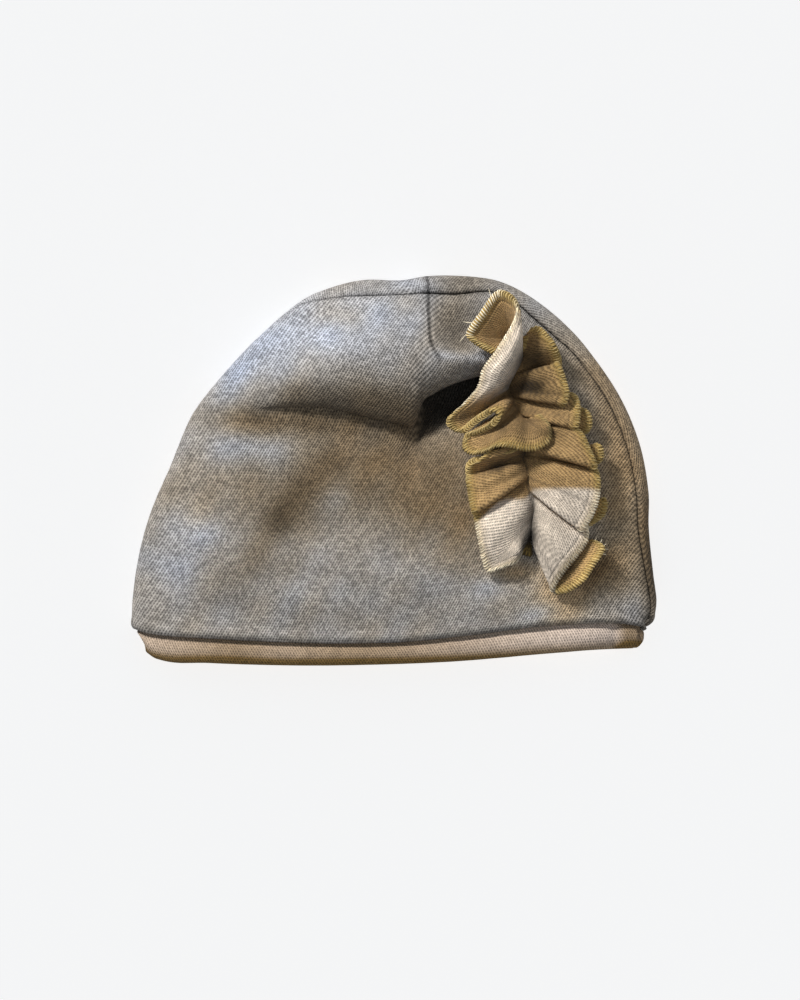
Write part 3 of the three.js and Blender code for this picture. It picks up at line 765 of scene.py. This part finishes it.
def crown_panel(name, is_front, columns, rows):
    """A crown panel as a closed shell of doubled jersey."""
    s = crowded(columns, [DART_COLUMNS])
    t = crowded(rows, [FOLD_ROWS] if is_front else [])
    pattern = pattern_grid(is_front, s, t)
    if not is_front:
        pattern = pattern[:, ::-1]
    u, v = pattern[..., 0], pattern[..., 1]
    points, distance, along = place(is_front, u, v)
    normals = grid_normals(points)
    strip = smooth(outline, "along", "strip", along)
    from_seam = distance + strip * (-1 if is_front else 1) - SEAM_GAP / 2
    from_hem = v - hem_line(points[..., 0], is_front)
    shown = ramp(points[..., 0], *SEAM_SHOWN)
    pucker = 0.12 * ripples(along, from_seam * 2, 5, 5) * bell(from_seam / 4)
    lip = 0.5 * bell((from_hem - 2.6) / 1.8)
    seam_drop = round_over(from_seam, SEAM_ROUND) * (0.4 + 0.6 * shown)
    drop = np.maximum(seam_drop, round_over(from_hem, HEM_ROUND) * 0.55)
    outer = points + unit(softened(normals, OUTER_PASSES)) * (pucker + lip - drop)[..., None]
    inner = points - unit(softened(normals, INNER_PASSES)) * (WALL - 0.9 * drop)[..., None]
    if not is_front:
        outer[..., 2] = np.maximum(outer[..., 2], 0)
    up = evened(run_of(points) + from_hem[:1], KNIT_REACH)
    across = u if is_front else -u
    uv = np.concatenate([np.stack([across, up], -1).reshape(-1, 2)] * 2)
    # painted shade along the seams, the hem and the dart
    shade = painted_seam_shade(points, from_seam, from_hem, shown)
    # painted shade deep under the fold
    if is_front:
        shade = shade * (1 - POCKET_PAINTED_SHADE * under_fold(u, v))
    tint = crown_tint(points[..., 0], points[..., 1]) * shade[..., None]
    tint = np.concatenate([tint.reshape(-1, 3)] * 2)
    both = np.concatenate([outer.reshape(-1, 3), inner.reshape(-1, 3)])
    return make_object(name, both, shell_faces(len(t), len(s)), uv, tint)


# Painted light and painted shade: the lit and the shaded cream of the band, as linear reflectances.
BAND_PAINTED_LIGHT = np.array([0.74, 0.62, 0.54])
BAND_PAINTED_SHADE = np.array([0.33, 0.24, 0.155])


def tip_x(y, is_left):
    """Where the outline's polyline crosses a height on its left or right side."""
    half = len(EDGE) // 2
    line = EDGE[:half] if is_left else EDGE[::-1][:half]
    return np.interp(y, line[:, 1], line[:, 0])


def mouth_loop(up, steps):
    """Loop round the mouth on the crown's outer face, this far up from the hem: over the front
    from the left tip to the right one and back under."""
    left, right = tip_x(HEM["y"][0] + up, True), tip_x(HEM["y"][-1] + up, False)
    even = np.arange(steps) / steps
    share = even - 0.85 * np.sin(2 * math.pi * even) / (2 * math.pi)
    halves = []
    for is_front in (True, False):
        x = left + (right - left) * (share if is_front else 1 - share)
        y = hem_line(x, is_front) + up
        distance, _, _, along = nearest_edge(x, y)
        face = front_height(x, y, distance, along)[0] if is_front else back_height(distance)
        face[0] = ROLL
        halves.append(np.stack([x, y, face], 1))
    return np.concatenate(halves)


def ways_in(loop):
    """Unit vectors that point from a loop round the mouth into it."""
    span = np.roll(loop, -1, 0) - np.roll(loop, 1, 0)
    return unit(np.stack([span[:, 2], np.zeros(len(loop)), -span[:, 0]], 1))


def band_creases(x):
    """Depth of the creases across the band."""
    total = np.zeros(len(x))
    for place_at, wide, depth in zip(*BAND_TUCKS.values()):
        total += depth * bell((x - place_at) / wide)
    return total


def band_tint(x, share):
    """Colour of the band across the hat, this share of its height below the hem, with painted shade
    over its middle, its ends and its underside.
    """
    middle = bell((x + 15) / 70) * 0.9 + ramp(x, 87, 94) * 0.85
    left = 0.4 * ramp(-x, 40, 70)
    band_shading = np.clip(0.1 + middle + left + 0.8 * ramp(share, 0.5, 1), 0, 1.3)[:, None]
    return BAND_PAINTED_LIGHT * (1 - band_shading) + BAND_PAINTED_SHADE * band_shading


def rim_band(name, steps, section_steps):
    """The rolled band round the mouth, one closed ring."""
    at_hem, tucked = mouth_loop(0, steps), mouth_loop(BAND_TUCK, steps)
    x = at_hem[:, 0]
    tall = BAND_SECTION["down"] * BAND_HEIGHT
    section = measured({"x": tall, "y": BAND_SECTION["inset"], **BAND_SECTION})
    run = np.linspace(0, section["along"][-1], section_steps)
    down = smooth(section, "along", "down", run)
    inset = smooth(section, "along", "inset", run)
    ring_run = run_of(at_hem)
    hem_in, tucked_in = ways_in(at_hem), ways_in(tucked)
    height = smooth(HEM, "x", "band", x)
    creases = band_creases(x) * (np.arange(len(x)) < steps)
    rings, tints, uvs = [], [], []
    for down_at, inset_at, run_at in zip(down, inset, run):
        share, tuck_share = max(down_at, 0), min(max(-down_at, 0), 1)
        loop = at_hem * (1 - tuck_share) + tucked * tuck_share
        into = unit(hem_in * (1 - tuck_share) + tucked_in * tuck_share)
        wave = 0.14 * ripples(ring_run, np.full(len(loop), down_at * BAND_HEIGHT), 12, 6)
        depth = inset_at + (creases * ramp(share, 0, 0.2) + wave) * ramp(share, 0, 0.15)
        ring = loop + into * np.minimum(depth, BAND_DEEPEST)[:, None]
        pull = np.where(into[:, 0] > 0, *BAND_PULL)
        ring[:, 0] += pull * into[:, 0] * np.abs(into[:, 0]) * share**1.5
        ring[:, 1] -= BAND_GAP * (1 - tuck_share) + share * height
        rings.append(ring)
        uvs.append(np.stack([ring_run, np.full(len(loop), run_at)], 1))
        tints.append(band_tint(x, share))
    rings = np.array(rings)
    faces = quads_of(len(rings) + 1, rings.shape[1], wraps=True) % (len(rings) * rings.shape[1])
    points = rings.reshape(-1, 3)
    return make_object(name, points, faces[:, ::-1], np.concatenate(uvs), np.concatenate(tints))


def ruffle_floor(x, y):
    """Lowest that the middle of the ruffle's cloth can lie over a place on the crown."""
    heights = []
    for dx, dy in ((0, 0), (2, 0), (-2, 0), (0, 2), (0, -2)):
        distance, _, _, along = nearest_edge(x + dx, y + dy)
        heights.append(front_height(x + dx, y + dy, distance, along)[0])
    return np.max(heights, 0) + RUFFLE_SEAT + RUFFLE_WALL / 2


# Distances from the ruffle's free edge at which it has columns.
HEM_STEPS = np.array([0, 0.5, 1.1, 1.8, 2.4, 2.8, 3.1, 3.4, 3.8, 4.4])
HEM_SHARE = 0.6  # most of a fold's width that those columns take up
STITCH_LINE = 3.1  # distance of the stitched line from the free edge


def ruffle_roots(steps):
    """Places on the gathers between which the two free edges together run an equal length."""
    fine = np.linspace(0, 1, 3001)
    run = np.zeros(len(fine))
    for folds in (LEFT_FOLDS, RIGHT_FOLDS):
        x, y = spot(folds, "root", fine)
        run[1:] += np.cumsum(np.hypot(np.diff(x), np.diff(y)))
    return np.interp(np.linspace(0, run[-1], steps + 1), run, fine)


def ruffle_side(folds, root, shares):
    """Middle surface of one half of the ruffle: a row for each root, shares from the gathers out."""
    start_x, start_y = spot(gather, "along", root * gather_length)
    start = np.stack([start_x, start_y, ruffle_floor(start_x, start_y)], 1)
    rise = RUFFLE_BASE + smooth(folds, "root", "rise", root)
    end = np.stack([*spot(folds, "root", root), rise], 1)
    bend = start + (end - start) * GATHER_REACH
    bend[:, 2] = rise + smooth(folds, "root", "bow", root)
    t = shares[..., None]
    curve = (1 - t) ** 2 * start[:, None] + 2 * t * (1 - t) * bend[:, None] + t**2 * end[:, None]
    curve[..., 2] = np.maximum(curve[..., 2], ruffle_floor(curve[..., 0], curve[..., 1]))
    return curve


def hem_shares(folds, root, inner_steps):
    """Shares out from the gathers at which each row has its columns, fine beside the free edge."""
    even = np.tile(np.linspace(0, 1, 33), (len(root), 1))
    rows = []
    for run, shares in zip(run_of(ruffle_side(folds, root, even), 1), even):
        edge = np.minimum(HEM_STEPS, run[-1] * HEM_SHARE * HEM_STEPS / HEM_STEPS[-1])
        reach = run[-1] - edge[::-1]
        inner = np.linspace(0, reach[0], inner_steps, endpoint=False)
        rows.append(np.interp(np.concatenate([inner, reach]), run, shares))
    return np.array(rows)


# Ruffle colours, as linear reflectances: cream in painted light, ochre in painted shade, the olive of
# the cut edge, partly its own and partly painted shade, and the stitches over it in painted shade and
# light.
CREAM_PAINTED_LIGHT = np.array([0.72, 0.62, 0.51])
OCHRE_PAINTED_SHADE = np.array([0.39, 0.25, 0.11])
CUT_EDGE = np.array([0.31, 0.21, 0.06])
STITCH_PAINTED_SHADE = np.array([0.52, 0.39, 0.17])
STITCH_PAINTED_LIGHT = np.array([0.9, 0.8, 0.6])


EDGE_TURNS = np.radians([30, 60, 90, 120, 150])  # points round the free edge's rounded section
HALVES_APART = 500  # between the knit's places on the two halves, so that it runs on its own in each


def ruffle_wall(shares, from_edge):
    """Thickness of the cloth: pinched by the gathers, full at the free edge and drawn in between."""
    thin = np.minimum(2 * np.abs(shares), 1)
    wall = GATHERED_WALL + (RUFFLE_WALL - GATHERED_WALL) * thin
    wall = wall + 0.5 * bell(from_edge / 1.6) - 0.7 * bell((from_edge - STITCH_LINE) / 0.35)
    return np.maximum(wall, 0.5)


def edge_ring(middle, normals, half, side, inside):
    """Points round one free edge, from the upper face to the lower one."""
    out = unit(middle[:, side] - middle[:, inside])
    ring = [
        middle[:, side] + half[:, side] * (normals[:, side] * math.cos(a) + out * math.sin(a))
        for a in EDGE_TURNS
    ]
    return np.stack(ring, 1)


def round_section(values, at_right, at_left):
    """Values of the strip carried round its section: upper face, right edge, lower face, left edge."""
    shape = (len(values), len(EDGE_TURNS))
    right, left = np.broadcast_to(at_right, shape), np.broadcast_to(at_left, shape)
    return np.concatenate([values, right, values[:, ::-1], left], 1)


def end_caps(rows, columns, wide):
    """Quads that close the strip's two ends, with this many points on each face of its section."""
    turns = len(EDGE_TURNS)
    caps = []
    for base, flip in ((0, True), ((rows - 1) * columns, False)):
        top = base + np.arange(wide)
        bottom = base + wide + turns + np.arange(wide)[::-1]
        parts = [np.stack([top[:-1], top[1:], bottom[1:], bottom[:-1]], 1)]
        right = base + np.arange(wide - 1, wide + turns + 1)
        left = base + np.concatenate([np.arange(columns - turns - 1, columns), [0]])
        for ring in (right, left):
            hub = np.full(len(ring) - 2, ring[0])
            parts.append(np.stack([hub, ring[1:-1], ring[2:], ring[2:]], 1))
        cap = np.concatenate(parts)
        caps.append(cap[:, ::-1] if flip else cap)
    return np.concatenate(caps)


def ruffle(name, steps, inner_steps):
    """The gathered strip as one closed sheet with rounded edges and a stitched line along them, and
    the stitches over its free edges."""
    root = ruffle_roots(steps)
    sides = []
    for folds in (LEFT_FOLDS, RIGHT_FOLDS):
        out = hem_shares(folds, root, inner_steps)
        sides.append((ruffle_side(folds, root, out), out))
    (left, left_shares), (right, right_shares) = sides
    middle = np.concatenate([left[:, ::-1], right[:, 1:]], 1)
    shares = np.concatenate([-left_shares[:, ::-1], right_shares[:, 1:]], 1)
    run = run_of(middle, 1)
    from_edge = np.minimum(run, run[:, -1:] - run)
    normals = grid_normals(middle)
    half = ruffle_wall(shares, from_edge)[..., None] / 2
    upper, lower = middle + normals * half, middle - normals * half
    right_ring = edge_ring(middle, normals, half, -1, -2)
    left_ring = edge_ring(middle, normals, half, 0, 1)
    section = np.concatenate([upper, right_ring, lower[:, ::-1], left_ring[:, ::-1]], 1)
    rows, columns = section.shape[:2]
    faces = [quads_of(rows, columns, wraps=True), end_caps(rows, columns, middle.shape[1])]
    share = round_section(shares, 1, -1)
    left_run, right_run = run_of(middle[:, 0])[:, None], run_of(middle[:, -1])[:, None]
    along = np.where(share < 0, left_run, right_run + HALVES_APART)
    across = round_section(run, run[:, -1:], run[:, :1])
    uv = np.stack([along, across], -1).reshape(-1, 2)
    roots = root[:, None] + np.zeros(columns)
    tint = ruffle_tint(section, round_section(from_edge, 0, 0), share, roots).reshape(-1, 3)
    cloth = make_object(name, section.reshape(-1, 3), np.concatenate(faces), uv, tint)
    rng = np.random.default_rng(2)
    sewn = [edge_stitches(middle, normals, half, root, *pair, rng) for pair in ((-1, -2), (0, 1))]
    points, quads = joined([stitches[:2] for stitches in sewn])
    shade = np.concatenate([stitches[2] for stitches in sewn])
    return cloth, make_object(name + "_stitches", points, quads, points[:, :2], shade)


STITCH_STEP = 1.15  # between two stitches over the ruffle's free edge
STITCH_THREAD = 0.27  # radius of their thread
STITCH_LEAN = 0.5  # how far along the edge a stitch leans, from one face to the other
STITCH_TURNS = np.radians([-35, 5, 45, 90, 135, 175, 215])  # points of its thread round the edge
STITCH_BITE = 1.2  # how far in from the edge its ends lie
STRAY_THREAD = 0.13  # radius of a loose thread


def thread(path, radius, sides=5):
    """Points and quads of a round thread along a path, pinched shut at its ends."""
    ahead = unit(np.gradient(path, axis=0))
    up = np.where(np.abs(ahead[:, 2:]) > 0.9, [[1.0, 0, 0]], [[0, 0, 1.0]])
    side = unit(np.cross(ahead, up))
    lift = np.cross(side, ahead)
    turn = np.arange(sides) / sides * 2 * math.pi
    width = np.full(len(path), radius)
    width[[0, -1]] = radius * 0.3
    ring = side[:, None] * np.cos(turn)[:, None] + lift[:, None] * np.sin(turn)[:, None]
    points = path[:, None] + ring * width[:, None, None]
    quads = quads_of(len(path), sides, wraps=True)
    last = (len(path) - 1) * sides
    caps = [(0, k + 2, k + 1, k + 1) for k in range(sides - 2)]
    caps += [(last, last + k + 1, last + k + 2, last + k + 2) for k in range(sides - 2)]
    return points.reshape(-1, 3), np.concatenate([quads, np.array(caps)])


def joined(parts):
    """Several (points, quads) as one pair."""
    start = 0
    points, quads = [], []
    for part_points, part_quads in parts:
        points.append(part_points)
        quads.append(part_quads + start)
        start += len(part_points)
    return np.concatenate(points), np.concatenate(quads)


def edge_stitches(middle, normals, half, root, side, inside, rng):
    """Threads wrapped over one free edge of the ruffle, one for each stitch, and their colours."""
    edge = middle[:, side]
    out = unit(edge - middle[:, inside])
    run = run_of(edge)
    count = int(run[-1] / STITCH_STEP)
    parts = []
    for k in range(count):
        at = (k + 0.5 + rng.uniform(-0.15, 0.15)) * STITCH_STEP
        lean = np.linspace(-STITCH_LEAN, STITCH_LEAN, len(STITCH_TURNS))
        where = np.clip(at + lean, 0, run[-1])
        place_at, normal, way = (
            np.stack([np.interp(where, run, values[:, i]) for i in range(3)], 1)
            for values in (edge, normals[:, side], out)
        )
        thick = np.interp(at, run, half[:, side, 0]) + STITCH_THREAD * 0.35
        back = np.cos(STITCH_TURNS)[:, None] * thick
        forth = np.sin(STITCH_TURNS)[:, None] * thick
        bite = np.maximum(-np.sin(STITCH_TURNS), 0)[:, None] * STITCH_BITE
        path = place_at + normal * np.clip(back, -thick, thick) + way * (forth - bite)
        parts.append(thread(path, STITCH_THREAD * rng.uniform(0.85, 1.15)))
    middles = (np.arange(count) + 0.5) * STITCH_STEP
    stitched = np.interp(middles, run, root)
    x, y = (np.interp(middles, run, edge[:, i]) for i in range(2))
    share = np.full(count, 1.0 if side == -1 else -1.0)
    # painted light and shade on the stitches, as on the cloth they cover
    lit = ruffle_painted_light(x, y, flag_edge(stitched, share)) * (1 - turned_away(stitched, share))
    shade = STITCH_PAINTED_SHADE + (STITCH_PAINTED_LIGHT - STITCH_PAINTED_SHADE) * lit[:, None]
    # the ruffle's painted light and shade patches, carried onto the stitches
    patch = 1 + patches(RUFFLE_LIGHT_AND_SHADE, "light", x, y)
    shade = shade * rng.uniform(0.7, 1.3, (count, 1)) * np.maximum(patch, 0.15)[:, None]
    return *joined(parts), np.repeat(shade, len(parts[0][0]), axis=0)


# Stretches of the gathers, as shares of their length, over which a fold's painted light and shade come
# and go.
LOOP_EDGE = ((0.028, 0.036), (0.072, 0.08))
FLAG_EDGE = ((0.085, 0.115), (0.235, 0.25))
FLAG = ((0.085, 0.115), (0.25, 0.262))
END_LEFT = (0.947, 0.96)
END_RIGHT = (0.97, 0.975)
# The back layer is painted in shade.
SHADED_LAYER = (0.776, 0.008)  # middle and reach of the back layer that shows its shaded side
PALE_END = (0.4165, 0.007)  # and of the turned end whose cut edge is as pale as its cloth


def turned_away(root, share):
    """1 on the folds painted in shade: the end loop and one of the back layers."""
    layer = bell((root - SHADED_LAYER[0]) / SHADED_LAYER[1]) > 0.4
    right = np.maximum(ramp(root, *END_RIGHT), layer)
    return np.where(share > 0, right, ramp(root, *END_LEFT))


def flag_edge(root, share):
    """1 along the left free edge of the top loop and of the flag below it, where painted light falls
    on the stitches.
    """
    return np.maximum(between(root, *LOOP_EDGE), between(root, *FLAG_EDGE)) * (share < 0)


def ruffle_painted_light(x, y, flag):
    """Where the ruffle is painted lit, out of the painted shadow: below its line and on the flag."""
    return np.maximum(ramp(smooth(PAINTED_SHADOW_EDGE, "x", "y", x) - y, -1, 1.5), flag)


def ruffle_tint(points, from_edge, share, root):
    """The ruffle's colour: ochre in painted shade, cream in painted light and olive at its cut edge,
    which is partly painted shade.
    """
    x, y = points[..., 0], points[..., 1]
    flag = between(root, *FLAG) * (share < 0)
    lit = ruffle_painted_light(x, y, flag * ramp(y, 24, 34)) * (1 - turned_away(root, share))
    light = patches(RUFFLE_LIGHT_AND_SHADE, "light", x, y) + 0.1 * ripples(x, y, 8, 12)
    body = (OCHRE_PAINTED_SHADE + (CREAM_PAINTED_LIGHT - OCHRE_PAINTED_SHADE) * lit[..., None]) * np.maximum(1 + light, 0.08)[..., None]
    turned_end = bell((root - PALE_END[0]) / PALE_END[1]) * (share < 0)
    # the cut edge's olive is partly painted shade, lifted where the cloth is painted lit
    cut = bell(from_edge / 2.2)[..., None] * (1 - np.maximum(0.42 * lit, turned_end))[..., None]
    return body + (CUT_EDGE - body) * cut * 0.8


def stray_threads(name):
    """Loose ends of the edge's thread, one for each row of STRAYS."""
    parts = []
    share = np.linspace(0, 1, 7)[:, None]
    rng = np.random.default_rng(6)
    for x, y, rise, out_x, out_y in zip(*STRAYS.values()):
        start = np.array([x, y, RUFFLE_BASE + rise])
        end = start + [out_x, out_y, -1]
        curl = np.sin(share * math.pi) * rng.uniform(-0.5, 0.5, 3)
        parts.append(thread(start + (end - start) * share + curl, STRAY_THREAD))
    points, quads = joined(parts)
    # the loose ends carry the stitches' painted light colour
    return make_object(name, points, quads, points[:, :2], np.tile(STITCH_PAINTED_LIGHT, (len(points), 1)))


class Nodes:
    """Short helpers to build a material's node tree."""

    def __init__(self, name):
        self.material = bpy.data.materials.new(name)
        self.material.use_nodes = True
        self.tree = self.material.node_tree
        self.shader = self.tree.nodes["Principled BSDF"]

    def new(self, kind, **settings):
        node = self.tree.nodes.new(kind)
        for key, value in settings.items():
            setattr(node, key, value)
        return node

    def put(self, socket, value):
        if isinstance(value, bpy.types.NodeSocket):
            self.tree.links.new(value, socket)
        else:
            socket.default_value = value

    def math(self, operation, *values):
        node = self.new("ShaderNodeMath", operation=operation)
        for socket, value in zip(node.inputs, values):
            self.put(socket, value)
        return node.outputs[0]

    def linear(self, value, factor, offset):
        return self.math("ADD", self.math("MULTIPLY", value, factor), offset)

    def swing(self, value, size):
        """A value from 0 to 1, centred on 0 and scaled to this size."""
        return self.math("MULTIPLY", self.math("SUBTRACT", value, 0.5), size)

    def pulses(self, value, power):
        """Rounded pulses from 0 to 1, highest at each whole number. A higher power narrows them."""
        wave = self.math("COSINE", self.math("MULTIPLY", value, 2 * math.pi))
        return self.math("POWER", self.linear(wave, 0.5, 0.5), power)

    def vector(self, x, y):
        node = self.new("ShaderNodeCombineXYZ")
        self.put(node.inputs[0], x)
        self.put(node.inputs[1], y)
        return node.outputs[0]

    def noise(self, vector, scale, detail=2.0, rough=0.5):
        node = self.new("ShaderNodeTexNoise")
        self.put(node.inputs["Vector"], vector)
        self.put(node.inputs["Scale"], scale)
        self.put(node.inputs["Detail"], detail)
        self.put(node.inputs["Roughness"], rough)
        return node.outputs["Fac"]

    def random(self, vector):
        node = self.new("ShaderNodeTexWhiteNoise", noise_dimensions="3D")
        self.put(node.inputs["Vector"], vector)
        return node.outputs["Value"]

    def finish(self, value, height, relief, roughness):
        """Joins up the shader: the mesh's tint scaled by a value, a height with its relief in metres
        and the roughness."""
        tint = self.new("ShaderNodeVertexColor", layer_name="tint")
        color = self.new("ShaderNodeVectorMath", operation="SCALE")
        self.put(color.inputs[0], tint.outputs["Color"])
        self.put(color.inputs["Scale"], value)
        self.put(self.shader.inputs["Base Color"], color.outputs[0])
        bump = self.new("ShaderNodeBump")
        self.put(bump.inputs["Strength"], 1.0)
        self.put(bump.inputs["Distance"], relief)
        self.put(bump.inputs["Height"], height)
        self.put(self.shader.inputs["Normal"], bump.outputs[0])
        self.put(self.shader.inputs["Roughness"], roughness)
        self.put(self.shader.inputs["Specular IOR Level"], 0.15)
        return self.material


GAP_LEAN = 0.6  # how far a gap between two loops leans to the right over two courses, in columns
GAP_NARROWING = 1.1  # powers that narrow a gap's width and shorten its length
GAP_SHORTENING = 1.6


def knit_gaps(n, column, row):
    """Gaps between the loops, as short leaning dashes: the relief sinks there and painted shade
    darkens them. Each second course has its own dashes, half a column beside the others."""
    courses = []
    for start in (0.0, 0.5):
        along = n.math("SUBTRACT", n.math("FRACT", n.linear(row, 0.5, start)), 0.5)
        leaning = n.math("SUBTRACT", n.math("ADD", column, start), n.math("MULTIPLY", along, GAP_LEAN))
        width, length = n.pulses(leaning, GAP_NARROWING), n.pulses(along, GAP_SHORTENING)
        courses.append(n.math("MULTIPLY", width, length))
    return n.math("MAXIMUM", *courses)


def knit_material(name, wale, course, heather, blotch, gap_painted_shade, relief, sheen):
    """Jersey whose loops follow the pattern's own coordinates, in millimetres."""
    n = Nodes(name)
    uv = n.new("ShaderNodeUVMap", uv_map="knit").outputs[0]
    parts = n.new("ShaderNodeSeparateXYZ")
    n.put(parts.inputs[0], uv)
    u, v = parts.outputs[0], parts.outputs[1]
    wobble = n.swing(n.noise(uv, 0.4, 3.0, 0.7), 1.1)
    column = n.math("ADD", n.math("DIVIDE", u, wale), wobble)
    row = n.math("ADD", n.math("DIVIDE", v, course), wobble)
    yarn = n.math("SUBTRACT", 1.0, knit_gaps(n, column, row))
    stitch = n.random(n.vector(n.math("FLOOR", column), n.math("FLOOR", row)))
    fleck = n.noise(uv, 0.75, 2.0, 0.6)
    melange = n.noise(n.vector(n.math("MULTIPLY", u, 0.16), n.math("MULTIPLY", v, 0.34)), 1.0, 3.0)
    varied = n.math("ADD", n.swing(stitch, heather), n.swing(fleck, heather))
    varied = n.math("ADD", n.math("ADD", varied, n.swing(melange, blotch)), 1.0)
    # the gaps between loops darkened with painted shade
    value = n.math("MULTIPLY", varied, n.linear(yarn, gap_painted_shade * 1.5, 1 - gap_painted_shade))
    fibres = n.math("MULTIPLY", n.noise(uv, 6.0, 3.0, 0.7), 0.35)
    n.put(n.shader.inputs["Sheen Weight"], sheen)
    n.put(n.shader.inputs["Sheen Roughness"], 0.6)
    roughness = n.linear(n.noise(uv, 1.5), 0.12, 0.86)
    return n.finish(value, n.math("ADD", yarn, fibres), relief / 1000, roughness)


def thread_material(name):
    """Spun thread, whose twist varies its colour, relief and roughness."""
    n = Nodes(name)
    twist = n.noise(n.new("ShaderNodeTexCoord").outputs["Object"], 2500.0)
    return n.finish(n.linear(twist, 0.6, 0.7), twist, 0.0001, n.linear(twist, 0.15, 0.8))


def finish_piece(obj, node, material):
    obj.data.materials.append(material)
    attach(obj, "root")
    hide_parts(node)


# Picture: its height in pixels and the plan's scale in it.
IMAGE_HEIGHT = 1000
MM_PER_PIXEL = 0.402
IMAGE_MIDDLE = (2.2, -11.9)  # plan point at the picture's middle
CAMERA_HEIGHT = 2500
SENSOR = 36


def make_camera():
    data = bpy.data.cameras.new("camera")
    data.sensor_width = SENSOR
    data.lens = SENSOR * CAMERA_HEIGHT / (IMAGE_HEIGHT * MM_PER_PIXEL)
    camera = bpy.data.objects.new("camera", data)
    bpy.context.scene.collection.objects.link(camera)
    camera.location = Vector(to_metres((*IMAGE_MIDDLE, CAMERA_HEIGHT)))
    bpy.context.scene.camera = camera


def area_light(name, place_at, size, power, color):
    """A soft square light over the table that lights only the hat."""
    data = bpy.data.lights.new(name, "AREA")
    data.size = size
    data.energy = power
    data.color = color
    lamp = bpy.data.objects.new(name, data)
    bpy.context.scene.collection.objects.link(lamp)
    lamp.location = place_at
    lamp.rotation_mode = "QUATERNION"
    lamp.rotation_quaternion = (-Vector(place_at)).to_track_quat("-Z", "Y")
    lamp.light_linking.receiver_collection = HAT


def make_world():
    world = bpy.data.worlds.new("studio")
    bpy.context.scene.world = world
    world.use_nodes = True
    background = world.node_tree.nodes["Background"]
    background.inputs["Color"].default_value = (0.9, 0.95, 1, 1)
    background.inputs["Strength"].default_value = 0.16


FLOOR_REACH = 8  # metres from the middle to each side
FLOOR_DROP = 0.0003  # keeps the floor just clear of the hat's underside


def paper_material():
    """Plain pale paper that glows a little, so that the shadows on it stay faint."""
    paper = bpy.data.materials.new("paper")
    paper.use_nodes = True
    shader = paper.node_tree.nodes["Principled BSDF"]
    shader.inputs["Base Color"].default_value = (0.86, 0.86, 0.86, 1)
    shader.inputs["Roughness"].default_value = 0.9
    shader.inputs["Emission Color"].default_value = (1, 1, 1, 1)
    shader.inputs["Emission Strength"].default_value = 0.785
    return paper


def make_floor():
    mesh = bpy.data.meshes.new("floor")
    corners = [(x * FLOOR_REACH, y * FLOOR_REACH, 0) for x, y in ((-1, -1), (1, -1), (1, 1), (-1, 1))]
    mesh.from_pydata(corners, [], [(0, 1, 2, 3)])
    floor = bpy.data.objects.new("floor", mesh)
    floor.location.z = -FLOOR_DROP
    bpy.context.scene.collection.objects.link(floor)
    mesh.materials.append(paper_material())


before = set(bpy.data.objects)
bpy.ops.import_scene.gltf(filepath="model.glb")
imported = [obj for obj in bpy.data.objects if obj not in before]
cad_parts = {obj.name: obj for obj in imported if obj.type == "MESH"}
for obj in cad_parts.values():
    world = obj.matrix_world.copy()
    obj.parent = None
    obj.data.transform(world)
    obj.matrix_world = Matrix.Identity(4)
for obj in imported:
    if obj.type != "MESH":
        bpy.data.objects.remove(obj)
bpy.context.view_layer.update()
HAT = bpy.data.collections.new("hat")
bpy.context.scene.collection.children.link(HAT)
back_high = np.array(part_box("crown_back")[1]) * 1000
PLAN_SHIFT = np.array([back_high[0] - EDGE[:, 0].max(), back_high[1] - EDGE[:, 1].max(), 0])

bpy.context.scene.view_settings.view_transform = "Standard"

jersey = {"wale": 1.15, "course": 1.05, "relief": 0.26, "sheen": 0.05}
crown_knit = knit_material("crown_jersey", heather=0.6, blotch=0.5, gap_painted_shade=0.62, **jersey)
band_knit = knit_material("band_jersey", heather=0.25, blotch=0.3, gap_painted_shade=0.5, **jersey)
jersey.update(wale=1.2, course=1.15, relief=0.28)
ruffle_knit = knit_material("ruffle_jersey", heather=0.35, blotch=0.25, gap_painted_shade=0.5, **jersey)

front = crown_panel("crown_front_cloth", is_front=True, columns=230, rows=165)
finish_piece(front, "crown_front", crown_knit)
back = crown_panel("crown_back_cloth", is_front=False, columns=180, rows=120)
finish_piece(back, "crown_back", crown_knit)
band = rim_band("rim_band_cloth", steps=260, section_steps=56)
finish_piece(band, "rim_band", band_knit)
frill, frill_sewing = ruffle("ruffle_cloth", steps=820, inner_steps=13)
finish_piece(frill, "ruffle", ruffle_knit)
edge_thread = thread_material("ruffle_thread")
finish_piece(frill_sewing, "ruffle", edge_thread)
finish_piece(stray_threads("ruffle_stray_threads"), "ruffle", edge_thread)

make_camera()
make_world()
make_floor()
area_light("key", (-0.6, 0.8, 0.86), 0.24, 19.5, (1, 0.98, 0.95))
area_light("top", (0.3, -0.1, 1.6), 1.2, 6, (0.95, 0.97, 1))
